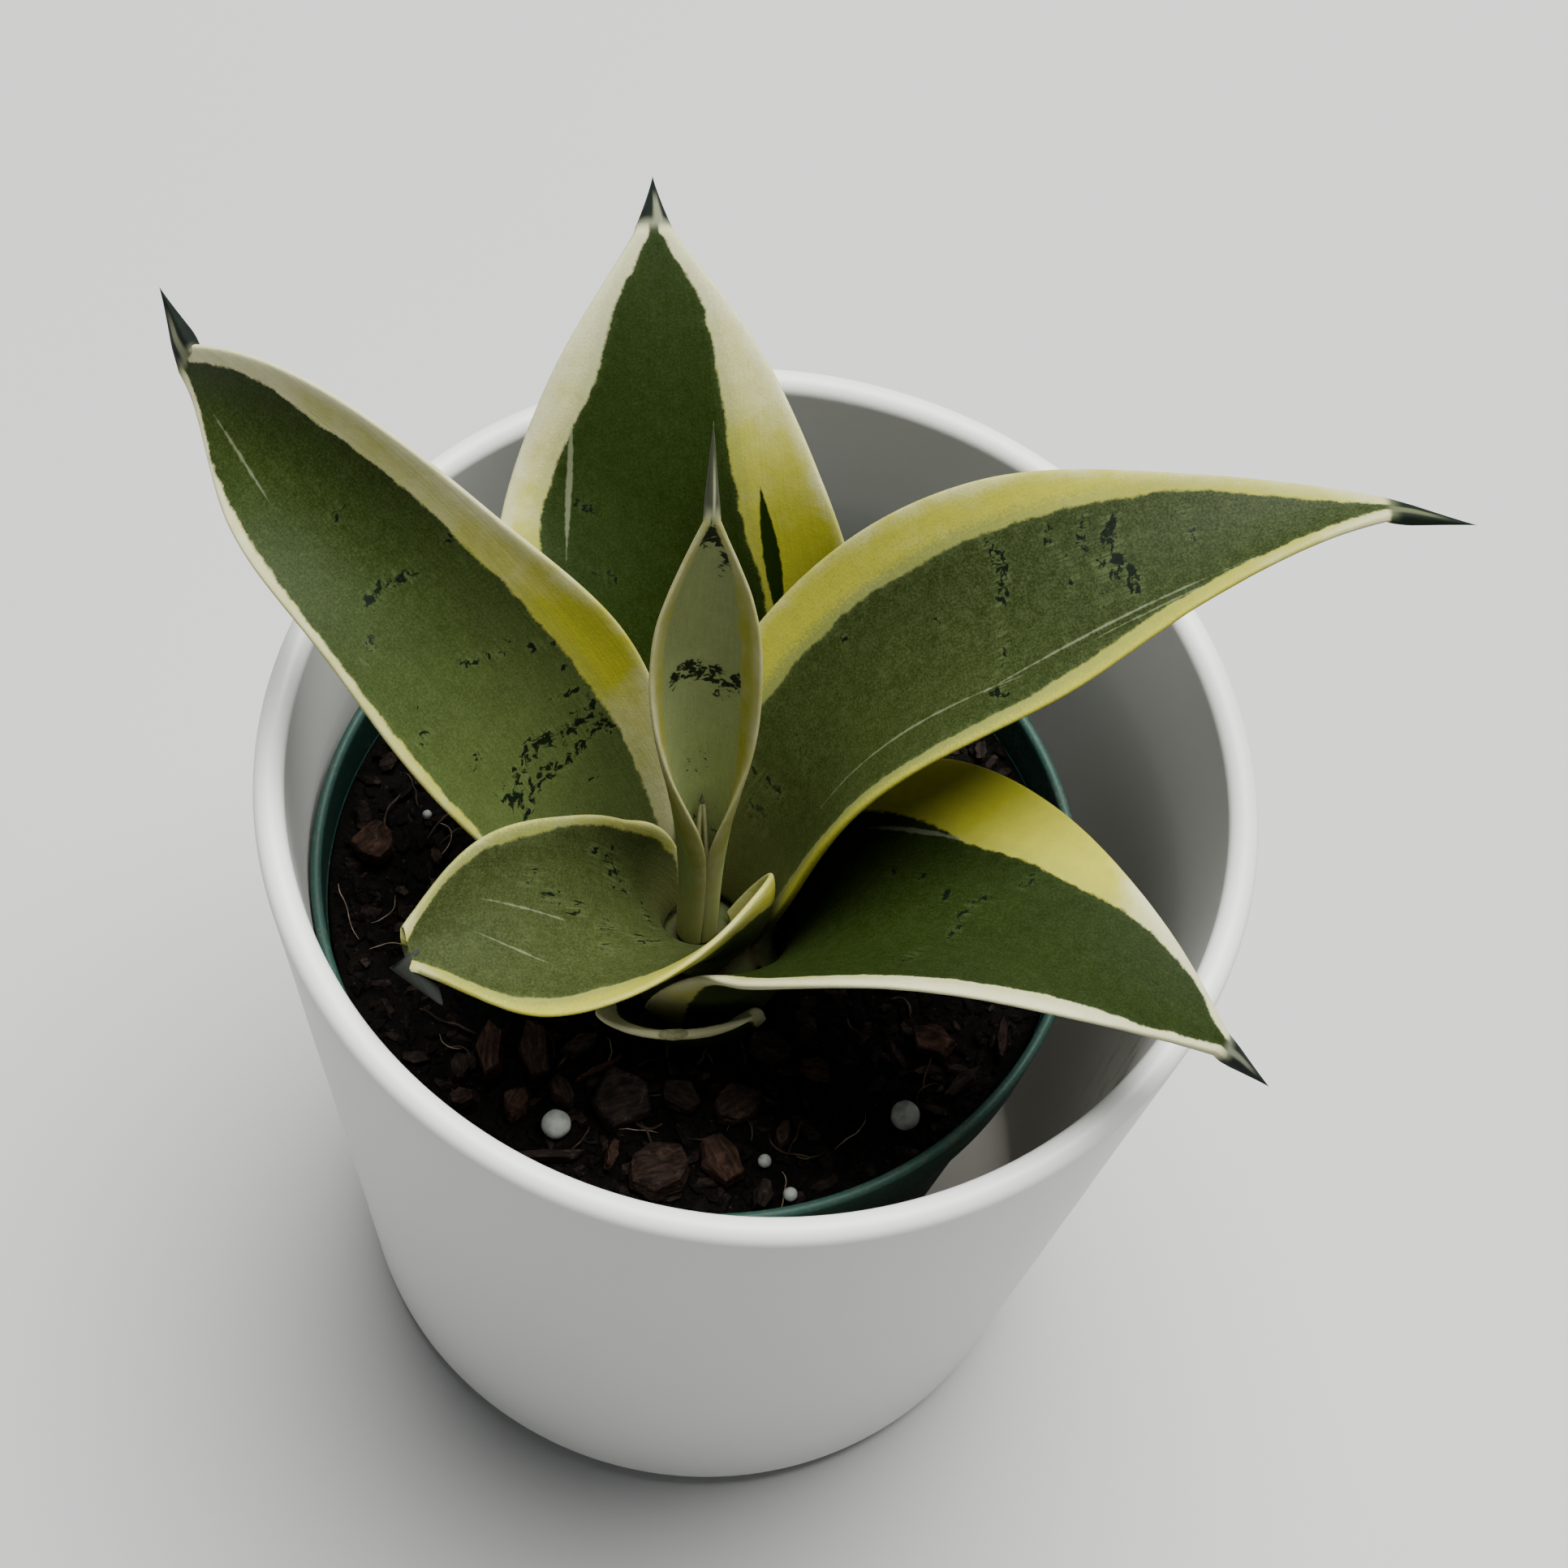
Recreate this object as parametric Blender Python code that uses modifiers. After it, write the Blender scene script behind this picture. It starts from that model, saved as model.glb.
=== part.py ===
"""Potted snake plant: a young variegated bird's-nest Sansevieria in a dark
green nursery pot, standing inside a plain white ceramic cachepot.

Frame: metres, +Z up. The origin is the centre of the flat underside of the
cachepot. -Y is the side a viewer stands on.
"""
import math

import bmesh
import bpy
from mathutils import Matrix, Vector

MM = 0.001
GAP = 0.3 * MM                      # clearance between pieces that touch

# --- cachepot -------------------------------------------------------------
POT_HEIGHT = 133.0 * MM
POT_RIM_RADIUS = 65.0 * MM          # outside, at the rim
POT_BASE_RADIUS = 53.6 * MM         # outside, where the wall would meet the table
POT_WALL = 4.0 * MM
POT_FLOOR = 5.0 * MM
POT_HEEL = 7.0 * MM                 # rounding between wall and underside
INNER_HEEL = POT_HEEL - 1.5 * MM    # rounding between wall and floor
POT_STEPS = 56

# --- nursery pot ----------------------------------------------------------
RIM_DROP = 21.4 * MM                # nursery rim below the cachepot rim
NURSERY_RIM_RADIUS = 51.8 * MM
NURSERY_BASE_RADIUS = 38.0 * MM
NURSERY_WALL = 0.9 * MM
NURSERY_FLOOR = 1.2 * MM
COLLAR_HEIGHT = 11.0 * MM           # straight band under the rim
COLLAR_STEP = 1.4 * MM              # how far the band stands out from the wall
COLLAR_DRAFT = 0.9 * MM             # how much the band narrows downwards
LIP_WIDTH = 1.5 * MM
LIP_HEIGHT = 1.4 * MM
DRAIN_RADIUS = 4.0 * MM
DRAIN_COUNT = 6
LEAN_HEADING = -153.0               # side on which it touches the cachepot wall
NURSERY_STEPS = 56

# --- soil and crown -------------------------------------------------------
SOIL_DROP = 7.6 * MM                # soil below the nursery rim
CROWN_CENTRE = (1.3 * MM, -8.8 * MM)   # from the nursery pot's axis
CROWN_SHARE = 16.2 / 51.8           # crown's radius against the nursery pot's
CROWN_RADIUS = NURSERY_RIM_RADIUS * CROWN_SHARE
CROWN_DEPTH = 12.0 * MM
CROWN_PEAK = 4.0 * MM               # above the soil
CROWN_SLOPE = 0.36                  # fall of the crown's top per unit of radius

# --- leaves ---------------------------------------------------------------
# Angles in degrees, lengths in millimetres on a crown of 16.2 mm radius; the
# rosette grows in step with the crown. Each profile is a list of evenly
# spaced values from the foot of the blade to the base of its spike:
#   clasp       radius at which the foot clasps the crown
#   heading     compass heading of the midrib, 0 = +X, 90 = +Y
#   rise        slope of the midrib above level
#   half_width  half the width of the blade, measured round its channel
#   cup         half the angle the channel turns through
#   roll        roll of the blade about its own midrib
#   spike       length, rise and heading of the hard tip
#   thick       thickness of the blade at the midrib
LEAVES = {
    "leaf_centre": {
        "clasp": 2.7,
        "heading": [114, 110, 107],
        "rise": [88, 77, 79, 92],
        "length": 78,
        "half_width": [7, 7.5, 9.5, 10, 7.5, 1],
        "cup": [150, 151, 106, 72, 56],
        "roll": [0, 1, -4, 0],
        "spike": [13, 65, 105],
        "thick": 1.6,
    },
    "leaf_front_left": {
        "clasp": 5.3,
        "heading": [262, 205, 216],
        "rise": [88, 47, 27, 19],
        "length": 56,
        "half_width": [13.5, 19, 18, 16, 12.5, 3],
        "cup": [148, 113, 73, 46, 36],
        "roll": [0, 24, -3, -19],
        "spike": [6, 10, 280],
        "thick": 2.4,
    },
    "leaf_right": {
        "clasp": 7.7,
        "heading": [57, 23, 17],
        "rise": [80, 57, 28, 0],
        "length": 113.5,
        "half_width": [7.5, 15.5, 18.5, 16.5, 9, 2],
        "cup": [55, 47, 40, 27, 33],
        "roll": [0, -7, 8, -12],
        "spike": [12, -5, 5],
        "thick": 2.4,
    },
    "leaf_left": {
        "clasp": 9.9,
        "heading": [163, 154, 138],
        "rise": [74, 54, 26, -21],
        "length": 104,
        "half_width": [8, 14.5, 17.5, 15, 12, 3],
        "cup": [46, 42, 43, 45, 25],
        "roll": [0, -13, -33, -64],
        "spike": [12, 10, 125],
        "thick": 2.4,
    },
    "leaf_front_right": {
        "clasp": 12.1,
        "heading": [-18, -20, -25],
        "rise": [88, 56, 23, -14],
        "length": 83,
        "half_width": [20.5, 19, 23.5, 20.5, 12.5, 2],
        "cup": [98, 60, 34, 21, 18],
        "roll": [0, -6, -18, -17],
        "spike": [11, -45, -5],
        "thick": 2.4,
    },
    "leaf_back": {
        "clasp": 14.2,
        "heading": [108, 108, 105],
        "rise": [79, 60, 43, 30],
        "length": 89,
        "half_width": [14.5, 19.5, 23.5, 22, 14.5, 2.5],
        "cup": [58, 37, 23, 18, 18],
        "roll": [0, 8, -20, -1],
        "spike": [11, -10, 100],
        "thick": 2.4,
    },
    "leaf_low_front": {
        "clasp": 14.3,
        "heading": [268, 270, 273],
        "rise": [78, 68, 65, 68],
        "length": 13,
        "half_width": [13, 12.5, 11.5, 10.5, 10, 2],
        "cup": [52, 51, 46, 30, 8],
        "roll": [0, 4, 6, 10],
        "spike": [2, 60, 280],
        "thick": 1.8,
    },
    "leaf_new": {
        "clasp": 1.0,
        "heading": [114, 112, 111],
        "rise": [88, 82, 77],
        "length": 27,
        "half_width": [2.6, 2.6, 2.4, 1.9, 1.2, 0.4],
        "cup": [150, 150, 150, 150, 140],
        "roll": [0, 0, 0],
        "spike": [2, 77, 111],
        "thick": 0.9,
    },
}
LEAF_SCALE = CROWN_RADIUS / (16.2 * MM)
FOOT_THINNING = 0.7                 # thickness of the foot against the blade's
FOOT_LIFT = 0.2                     # in millimetres, lets a leaning foot clear the crown
EDGE_FULLNESS = 0.6                 # 1 = lens section, lower = blunter margins
SPIKE_RADIUS = 1.3
RING_POINTS = 16
BLADE_STEPS = 17
SPIKE_STEPS = 4

# --- bits on the soil -----------------------------------------------------
# In millimetres on a disc of soil of 50 mm radius; they close up as it shrinks.
# x, y from the nursery pot's axis, length, width, thickness, turn, tilt
BARK_CHIPS = [
    (-26.2, -32.7, 4.6, 2.9, 1.6, 92, 8),
    (-22.3, -29.7, 8.6, 3.6, 2.6, 96, -6),
    (-16.9, -28.6, 8.8, 4.4, 2.4, 105, 5),
    (-11.1, -26.6, 5.6, 2.6, 2.0, 37, 4),
    (-8.2, -29.5, 7.6, 0.9, 1.1, 39, 0),
    (-12.4, -34.0, 5.4, 2.6, 1.8, 123, 10),
    (-4.6, -33.6, 8.4, 8.2, 2.8, 32, 5),
    (-17.8, -36.6, 4.4, 3.6, 2.0, 72, -8),
    (-25.2, -37.0, 3.6, 2.6, 1.5, 21, 4),
    (-13.0, -43.0, 11.0, 1.5, 1.6, 13, 0),
    (-4.6, -41.2, 4.0, 1.8, 1.5, 85, 12),
    (2.2, -42.6, 8.6, 7.0, 2.6, 26, -5),
    (3.0, -31.6, 6.0, 4.2, 1.8, -21, 6),
    (9.6, -39.2, 7.4, 5.4, 2.0, -52, -7),
    (10.6, -31.4, 6.2, 5.4, 2.2, 42, 5),
    (13.6, -22.8, 6.6, 3.6, 2.4, -2, -5),
    (19.9, -24.4, 4.4, 3.0, 2.2, -5, 9),
    (17.0, -34.2, 4.0, 1.8, 1.6, 80, 0),
    (15.6, -43.0, 4.4, 2.4, 1.8, 84, 8),
    (34.9, -17.3, 6.2, 4.8, 2.2, -11, 6),
    (43.8, -15.4, 6.6, 1.2, 1.5, 94, 0),
    (39.2, -23.0, 6.6, 1.7, 1.6, 49, 0),
    (-44.0, -2.4, 5.6, 5.6, 2.0, 55, 7),
    (-35.4, -2.8, 2.7, 1.6, 1.4, 119, 0),
    (35.9, 28.2, 3.4, 1.8, 1.4, 92, 0),
]
# x, y from the nursery pot's axis, radius
BEADS = [
    (-12.2, -38.9, 1.9),
    (32.4, -29.3, 1.95),
    (19.2, -42.6, 0.95),
    (15.2, -38.6, 0.9),
    (-37.9, 3.4, 0.65),
]


def material(name, color, roughness, metallic=0.0):
    """Plain Principled material."""
    mat = bpy.data.materials.new(name)
    mat.use_nodes = True
    shader = mat.node_tree.nodes["Principled BSDF"]
    shader.inputs["Base Color"].default_value = (*color, 1.0)
    shader.inputs["Roughness"].default_value = roughness
    shader.inputs["Metallic"].default_value = metallic
    return mat


def new_object(name, bm, mat, home):
    """Make a named object of the bmesh, with outward normals."""
    bmesh.ops.recalc_face_normals(bm, faces=bm.faces)
    mesh = bpy.data.meshes.new(name)
    bm.to_mesh(mesh)
    bm.free()
    obj = bpy.data.objects.new(name, mesh)
    if mat:
        mesh.materials.append(mat)
    home.objects.link(obj)
    return obj


def turned(name, profile, steps, mat, home):
    """Body turned round Z from an open profile whose ends lie on the axis."""
    bm = bmesh.new()
    verts = [bm.verts.new((r, 0.0, z)) for r, z in profile]
    for a, b in zip(verts, verts[1:]):
        bm.edges.new((a, b))
    mesh = bpy.data.meshes.new(name)
    bm.to_mesh(mesh)
    bm.free()
    obj = bpy.data.objects.new(name, mesh)
    if mat:
        mesh.materials.append(mat)
    home.objects.link(obj)
    screw = obj.modifiers.new("turn", "SCREW")
    screw.axis = "Z"
    screw.angle = math.tau
    screw.steps = steps
    screw.render_steps = steps
    screw.use_merge_vertices = True
    screw.merge_threshold = 0.00001
    screw.use_smooth_shade = True
    return obj


def cut(obj, cutter):
    """Take the cutter out of the object."""
    cutter.hide_render = True
    cutter.display_type = "WIRE"
    mod = obj.modifiers.new("cut", "BOOLEAN")
    mod.operation = "DIFFERENCE"
    mod.solver = "EXACT"
    mod.object = cutter


def arc(cx, cz, radius, start, end, steps):
    """Points on an arc, angles in degrees from +X towards +Z."""
    points = []
    for i in range(steps + 1):
        a = math.radians(start + (end - start) * i / steps)
        points.append((cx + radius * math.cos(a), cz + radius * math.sin(a)))
    return points


# --- cachepot -------------------------------------------------------------
def pot_outer_radius(z):
    """Radius of the cachepot's outer wall at height z."""
    lean = (POT_RIM_RADIUS - POT_BASE_RADIUS) / (POT_HEIGHT - POT_WALL / 2)
    return POT_BASE_RADIUS + lean * z


def pot_inner_radius(z):
    """Radius of the cachepot's inner wall at height z."""
    return pot_outer_radius(z) - POT_WALL


def build_cachepot(home):
    """Thick white ceramic pot with a full-round rim and rounded heel."""
    round_r = POT_WALL / 2
    rim_z = POT_HEIGHT - round_r
    heel_x = pot_outer_radius(POT_HEEL) - POT_HEEL
    inner_z = POT_FLOOR + INNER_HEEL
    inner_x = pot_inner_radius(inner_z) - INNER_HEEL
    profile = [(0.0, POT_FLOOR)]
    profile += arc(inner_x, inner_z, INNER_HEEL, -90, 0, 5)
    profile += arc(POT_RIM_RADIUS - round_r, rim_z, round_r, 180, 0, 8)
    profile += arc(heel_x, POT_HEEL, POT_HEEL, 0, -90, 6)
    profile += [(0.0, 0.0)]
    glaze = material("white_glaze", (0.80, 0.80, 0.77), 0.35)
    return turned("cachepot", profile, POT_STEPS, glaze, home)


# --- nursery pot ----------------------------------------------------------
NURSERY_Z = POT_FLOOR + GAP
NURSERY_RIM_Z = POT_HEIGHT - RIM_DROP
COLLAR_Z = NURSERY_RIM_Z - COLLAR_HEIGHT
COLLAR_RADIUS = NURSERY_RIM_RADIUS - COLLAR_DRAFT
SHOULDER_RADIUS = COLLAR_RADIUS - COLLAR_STEP
SOIL_Z = NURSERY_RIM_Z - SOIL_DROP
SOIL_RADIUS = NURSERY_RIM_RADIUS - LIP_WIDTH - GAP


def nursery_centre():
    """Axis of the nursery pot, pushed over until its band or foot meets the wall."""
    at_rim = pot_inner_radius(NURSERY_RIM_Z) - NURSERY_RIM_RADIUS
    at_band = pot_inner_radius(COLLAR_Z) - COLLAR_RADIUS
    at_foot = pot_inner_radius(POT_FLOOR + INNER_HEEL) - INNER_HEEL - NURSERY_BASE_RADIUS + 1.0 * MM
    reach = min(at_rim, at_band, at_foot) - GAP
    heading = math.radians(LEAN_HEADING)
    return Vector((reach * math.cos(heading), reach * math.sin(heading), 0.0))


def nursery_inner_profile():
    """Inside of the nursery pot from the edge of its floor up to the lip."""
    wall = NURSERY_WALL
    return [
        (NURSERY_BASE_RADIUS - wall, NURSERY_Z + NURSERY_FLOOR),
        (SHOULDER_RADIUS - wall, COLLAR_Z + 0.5 * MM),
        (COLLAR_RADIUS - wall, COLLAR_Z + 2.0 * MM),
        (NURSERY_RIM_RADIUS - LIP_WIDTH, NURSERY_RIM_Z - LIP_HEIGHT),
    ]


def build_nursery_pot(home, tools):
    """Thin green plastic pot with a band and a small rolled lip."""
    lip_r = LIP_WIDTH / 2
    lip_x = NURSERY_RIM_RADIUS - lip_r
    profile = [(0.0, NURSERY_Z + NURSERY_FLOOR)]
    profile += nursery_inner_profile()
    profile += arc(lip_x, NURSERY_RIM_Z - lip_r, lip_r, 180, 0, 5)
    profile += [
        (COLLAR_RADIUS, COLLAR_Z),
        (SHOULDER_RADIUS, COLLAR_Z - 1.0 * MM),
        (NURSERY_BASE_RADIUS, NURSERY_Z + 1.0 * MM),
        (NURSERY_BASE_RADIUS - 1.0 * MM, NURSERY_Z),
        (0.0, NURSERY_Z),
    ]
    plastic = material("green_plastic", (0.02, 0.07, 0.05), 0.45)
    pot = turned("nursery_pot", profile, NURSERY_STEPS, plastic, home)
    ring = (NURSERY_BASE_RADIUS - NURSERY_WALL) * 0.72
    bm = bmesh.new()
    for i in range(DRAIN_COUNT):
        a = math.tau * i / DRAIN_COUNT
        at = Matrix.Translation((ring * math.cos(a), ring * math.sin(a), NURSERY_Z))
        bmesh.ops.create_cone(bm, segments=12, cap_ends=True, radius1=DRAIN_RADIUS,
                              radius2=DRAIN_RADIUS, depth=6.0 * MM, matrix=at)
    holes = new_object("drain_holes", bm, None, tools)
    cut(pot, holes)
    pot.location = nursery_centre()
    holes.location = nursery_centre()
    return pot


# --- soil and crown -------------------------------------------------------
def crown_centre():
    """Axis of the plant."""
    spread = SOIL_RADIUS / (50.0 * MM)
    return nursery_centre() + Vector((*CROWN_CENTRE, 0.0)) * spread


def crown_top(radius):
    """Height of the crown's sloping top at a distance from its axis."""
    return SOIL_Z + CROWN_PEAK - CROWN_SLOPE * radius


def crown_profile(grow):
    """Squat dome, grown by the given amount all round."""
    edge = CROWN_RADIUS + grow
    bottom = SOIL_Z - CROWN_DEPTH - grow
    return [
        (0.0, crown_top(0.0) + grow),
        (edge * 0.92, crown_top(CROWN_RADIUS * 0.92) + grow),
        (edge, crown_top(CROWN_RADIUS) - 0.8 * MM),
        (edge * 0.8, bottom + 3.0 * MM),
        (edge * 0.35, bottom),
        (0.0, bottom),
    ]


def build_crown(home):
    """Short rootstock the leaves grow from, sunk in the soil."""
    flesh = material("crown_flesh", (0.20, 0.22, 0.09), 0.6)
    crown = turned("crown", crown_profile(0.0), 24, flesh, home)
    crown.location = crown_centre()
    return crown


def build_soil(home, tools):
    """Potting mix filling the nursery pot, with a socket for the crown."""
    inner = [(r - GAP, z) for r, z in nursery_inner_profile()[:3]]
    inner[0] = (inner[0][0], inner[0][1] + GAP)
    profile = [(0.0, SOIL_Z), (SOIL_RADIUS * 0.9, SOIL_Z)]
    profile += [(SOIL_RADIUS - 0.6 * MM, SOIL_Z - 0.6 * MM)]
    profile += list(reversed(inner))
    profile += [(0.0, inner[0][1])]
    mix = material("potting_mix", (0.018, 0.013, 0.010), 0.95)
    soil = turned("potting_soil", profile, NURSERY_STEPS, mix, home)
    soil.location = nursery_centre()
    open_top = [(0.0, SOIL_Z + 9.0 * MM), (CROWN_RADIUS + 2 * GAP, SOIL_Z + 9.0 * MM)]
    socket_profile = open_top + crown_profile(GAP)[2:]
    socket = turned("crown_socket", socket_profile, 24, None, tools)
    socket.location = crown_centre()
    cut(soil, socket)
    return soil


# --- leaves ---------------------------------------------------------------
def along(values, v):
    """Smooth curve through evenly spaced values, read at v from 0 to 1."""
    last = len(values) - 1
    place = min(max(v, 0.0), 1.0) * last
    i = min(int(place), last - 1)
    t = place - i
    b, c = values[i], values[i + 1]
    a = values[i - 1] if i > 0 else 2 * b - c
    d = values[i + 2] if i + 2 <= last else 2 * c - b
    return b + 0.5 * t * (c - a + t * (2 * a - 5 * b + 4 * c - d + t * (3 * (b - c) + d - a)))


def direction(rise, heading):
    """Unit vector for a rise and heading in degrees."""
    e, h = math.radians(rise), math.radians(heading)
    return Vector((math.cos(e) * math.cos(h), math.cos(e) * math.sin(h), math.sin(e)))


def grown(leaf):
    """The leaf with its lengths scaled to the crown it grows from."""
    scaled = dict(leaf)
    for part in ("clasp", "length", "thick"):
        scaled[part] = leaf[part] * LEAF_SCALE
    scaled["half_width"] = [w * LEAF_SCALE for w in leaf["half_width"]]
    scaled["spike"] = [leaf["spike"][0] * LEAF_SCALE, *leaf["spike"][1:]]
    return scaled


def leaf_frame(leaf, v):
    """Direction of the midrib, direction across the blade, and its inner side."""
    heading = along(leaf["heading"], v)
    ahead = direction(along(leaf["rise"], v), heading)
    h = math.radians(heading)
    across = Vector((-math.sin(h), math.cos(h), 0.0))
    inward = ahead.cross(across)
    turn = Matrix.Rotation(math.radians(along(leaf["roll"], v)), 3, ahead)
    return ahead, turn @ across, turn @ inward


def leaf_foot(leaf):
    """Point on the crown where the midrib starts, in millimetres."""
    centre = crown_centre() / MM
    clasp = leaf["clasp"]
    h = math.radians(leaf["heading"][0])
    inner_edge = clasp - leaf["thick"] * FOOT_THINNING / 2
    z = (crown_top(inner_edge * MM) + GAP) / MM + FOOT_LIFT
    return Vector((centre.x + clasp * math.cos(h), centre.y + clasp * math.sin(h), z))


def leaf_midrib(leaf, count):
    """Points along the midrib, found by walking from the foot to the spike."""
    fine = 12 * count
    step = leaf["length"] / fine
    at = leaf_foot(leaf)
    points = [at.copy()]
    before = leaf_frame(leaf, 0.0)[0]
    for k in range(1, fine + 1):
        after = leaf_frame(leaf, k / fine)[0]
        at = at + (before + after) * (step / 2)
        before = after
        if k % 12 == 0:
            points.append(at.copy())
    return points


def section(centre, across, inward, half_width, cup, thickness):
    """Ring of points round one channelled cross-section."""
    radius = half_width / cup
    ring = []
    for k in range(RING_POINTS):
        a = math.tau * k / RING_POINTS
        turn = -cup * math.cos(a)
        side = math.sin(turn)
        up = math.cos(turn)
        point = centre + across * (radius * side) + inward * (radius * (1 - up))
        normal = inward * up - across * side
        bulge = math.copysign(abs(math.sin(a)) ** EDGE_FULLNESS, math.sin(a))
        ring.append(point + normal * (bulge * thickness / 2))
    return ring


def leaf_rings(leaf):
    """All cross-sections of a leaf, foot first, spike tip last."""
    points = leaf_midrib(leaf, BLADE_STEPS)
    rings = []
    for k, centre in enumerate(points):
        v = k / BLADE_STEPS
        across, inward = leaf_frame(leaf, v)[1:]
        half_width = max(along(leaf["half_width"], v), 0.3)
        cup = math.radians(max(along(leaf["cup"], v), 2.0))
        thickness = leaf["thick"] * min(1 - 0.35 * v, FOOT_THINNING + 0.8 * v)
        if k == 0:
            rings.append(section(centre, across, inward, half_width, cup, 0.0))
            centre = centre + (points[1] - points[0]) * 0.12
        rings.append(section(centre, across, inward, half_width, cup, thickness))
    length, rise, heading = leaf["spike"]
    ahead = direction(rise, heading)
    across = (across - ahead * across.dot(ahead)).normalized()
    inward = ahead.cross(across)
    thick = min(half_width, SPIKE_RADIUS)
    for k in range(1, SPIKE_STEPS + 1):
        s = k / SPIKE_STEPS
        r = thick * (1 - s) ** 0.8
        rings.append(section(points[-1] + ahead * (length * s), across, inward, r, 0.3, 2 * r))
    return rings


def build_leaf(name, leaf, mat, home):
    """Closed blade lofted through its cross-sections."""
    rings = leaf_rings(leaf)
    bm = bmesh.new()
    loops = [[bm.verts.new(p * MM) for p in ring] for ring in rings]
    for low, high in zip(loops, loops[1:]):
        for k in range(RING_POINTS):
            j = (k + 1) % RING_POINTS
            bm.faces.new((low[k], low[j], high[j], high[k]))
    bmesh.ops.remove_doubles(bm, verts=bm.verts, dist=0.001 * MM)
    bmesh.ops.triangulate(bm, faces=bm.faces)
    obj = new_object(name, bm, mat, home)
    obj.data.shade_smooth()
    return obj


def build_leaves(home):
    """Every leaf of the rosette."""
    green = material("leaf_skin", (0.10, 0.17, 0.05), 0.4)
    for name, leaf in LEAVES.items():
        build_leaf(name, grown(leaf), green, home)


# --- bits on the soil -----------------------------------------------------
def build_chip(number, chip, mat, home):
    """Broken flake of bark lying on the soil."""
    x, y, length, width, thick, turn, tilt = chip
    spread = SOIL_RADIUS / 50.0
    corners = 7
    bm = bmesh.new()
    bmesh.ops.create_circle(bm, cap_ends=True, segments=corners, radius=0.5)
    for k, vert in enumerate(bm.verts):
        wobble = 1.0 + 0.13 * math.sin(2.4 * k + 1.7 * number)
        vert.co.x *= wobble * length * spread
        vert.co.y *= wobble * width * spread
    flat = bmesh.ops.extrude_face_region(bm, geom=bm.faces[:])["geom"]
    top = [g for g in flat if isinstance(g, bmesh.types.BMVert)]
    bmesh.ops.translate(bm, verts=top, vec=(0.0, 0.0, thick * spread))
    bmesh.ops.scale(bm, verts=top, vec=(0.86, 0.86, 1.0))
    spin = Matrix.Rotation(math.radians(turn), 4, "Z") @ Matrix.Rotation(math.radians(tilt), 4, "X")
    bmesh.ops.transform(bm, matrix=spin, verts=bm.verts)
    low = min(v.co.z for v in bm.verts)
    bmesh.ops.translate(bm, verts=bm.verts, vec=(0.0, 0.0, -low))
    obj = new_object(f"bark_chip_{number:02d}", bm, mat, home)
    obj.location = nursery_centre() + Vector((x * spread, y * spread, SOIL_Z + GAP))
    return obj


def build_bead(number, bead, mat, home):
    """Round white grain resting on the soil."""
    x, y, radius = [value * SOIL_RADIUS / 50.0 for value in bead]
    bm = bmesh.new()
    bmesh.ops.create_uvsphere(bm, u_segments=12, v_segments=8, radius=radius)
    obj = new_object(f"bead_{number:02d}", bm, mat, home)
    obj.data.shade_smooth()
    obj.location = nursery_centre() + Vector((x, y, SOIL_Z + GAP + radius))
    return obj


def build_bits(home):
    """Bark chips and white grains."""
    bark = material("bark", (0.06, 0.035, 0.022), 0.9)
    for number, chip in enumerate(BARK_CHIPS, 1):
        build_chip(number, chip, bark, home)
    grain = material("white_grain", (0.55, 0.56, 0.54), 0.6)
    for number, bead in enumerate(BEADS, 1):
        build_bead(number, bead, grain, home)


def main():
    for obj in list(bpy.data.objects):
        bpy.data.objects.remove(obj, do_unlink=True)
    home = bpy.data.collections.new("potted_snake_plant")
    tools = bpy.data.collections.new("cutters")
    bpy.context.scene.collection.children.link(home)
    bpy.context.scene.collection.children.link(tools)
    build_cachepot(home)
    build_nursery_pot(home, tools)
    build_soil(home, tools)
    build_crown(home)
    build_leaves(home)
    build_bits(home)


main()
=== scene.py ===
"""Potted snake plant: the looks.

A young variegated bird's-nest plant in a green nursery pot, set inside a
satin white ceramic cachepot. Everything is in metres, +Z up, origin at the
centre of the cachepot's underside.
"""

import math
import random

import bmesh
import bpy
from mathutils import Matrix, Vector, noise


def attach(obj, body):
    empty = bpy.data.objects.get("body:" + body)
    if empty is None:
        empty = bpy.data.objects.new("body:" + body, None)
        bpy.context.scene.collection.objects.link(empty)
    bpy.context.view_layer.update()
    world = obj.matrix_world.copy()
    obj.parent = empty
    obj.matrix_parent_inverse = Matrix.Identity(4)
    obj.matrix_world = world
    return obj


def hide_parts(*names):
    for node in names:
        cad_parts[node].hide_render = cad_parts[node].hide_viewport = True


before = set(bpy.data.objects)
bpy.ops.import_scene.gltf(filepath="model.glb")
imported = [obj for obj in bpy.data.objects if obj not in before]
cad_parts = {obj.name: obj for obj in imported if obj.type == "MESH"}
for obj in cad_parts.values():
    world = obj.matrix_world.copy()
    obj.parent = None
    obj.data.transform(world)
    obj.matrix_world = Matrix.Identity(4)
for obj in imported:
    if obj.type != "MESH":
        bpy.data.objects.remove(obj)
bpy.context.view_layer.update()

MM = 0.001
GAP = 0.3 * MM

# noise vectors follow the clock unless they are seeded
NOISE_SEED = 3
noise.seed_set(NOISE_SEED)

# --- sizes shared with the frame ------------------------------------------
POT_HEIGHT = 133.0 * MM
POT_RIM_RADIUS = 65.0 * MM
POT_BASE_RADIUS = 53.6 * MM
POT_WALL = 4.0 * MM
POT_FLOOR = 5.0 * MM
POT_HEEL = 7.0 * MM
POT_LEAN = (POT_RIM_RADIUS - POT_BASE_RADIUS) / (POT_HEIGHT - POT_WALL / 2)
INNER_HEEL = POT_HEEL - 1.5 * MM

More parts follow.
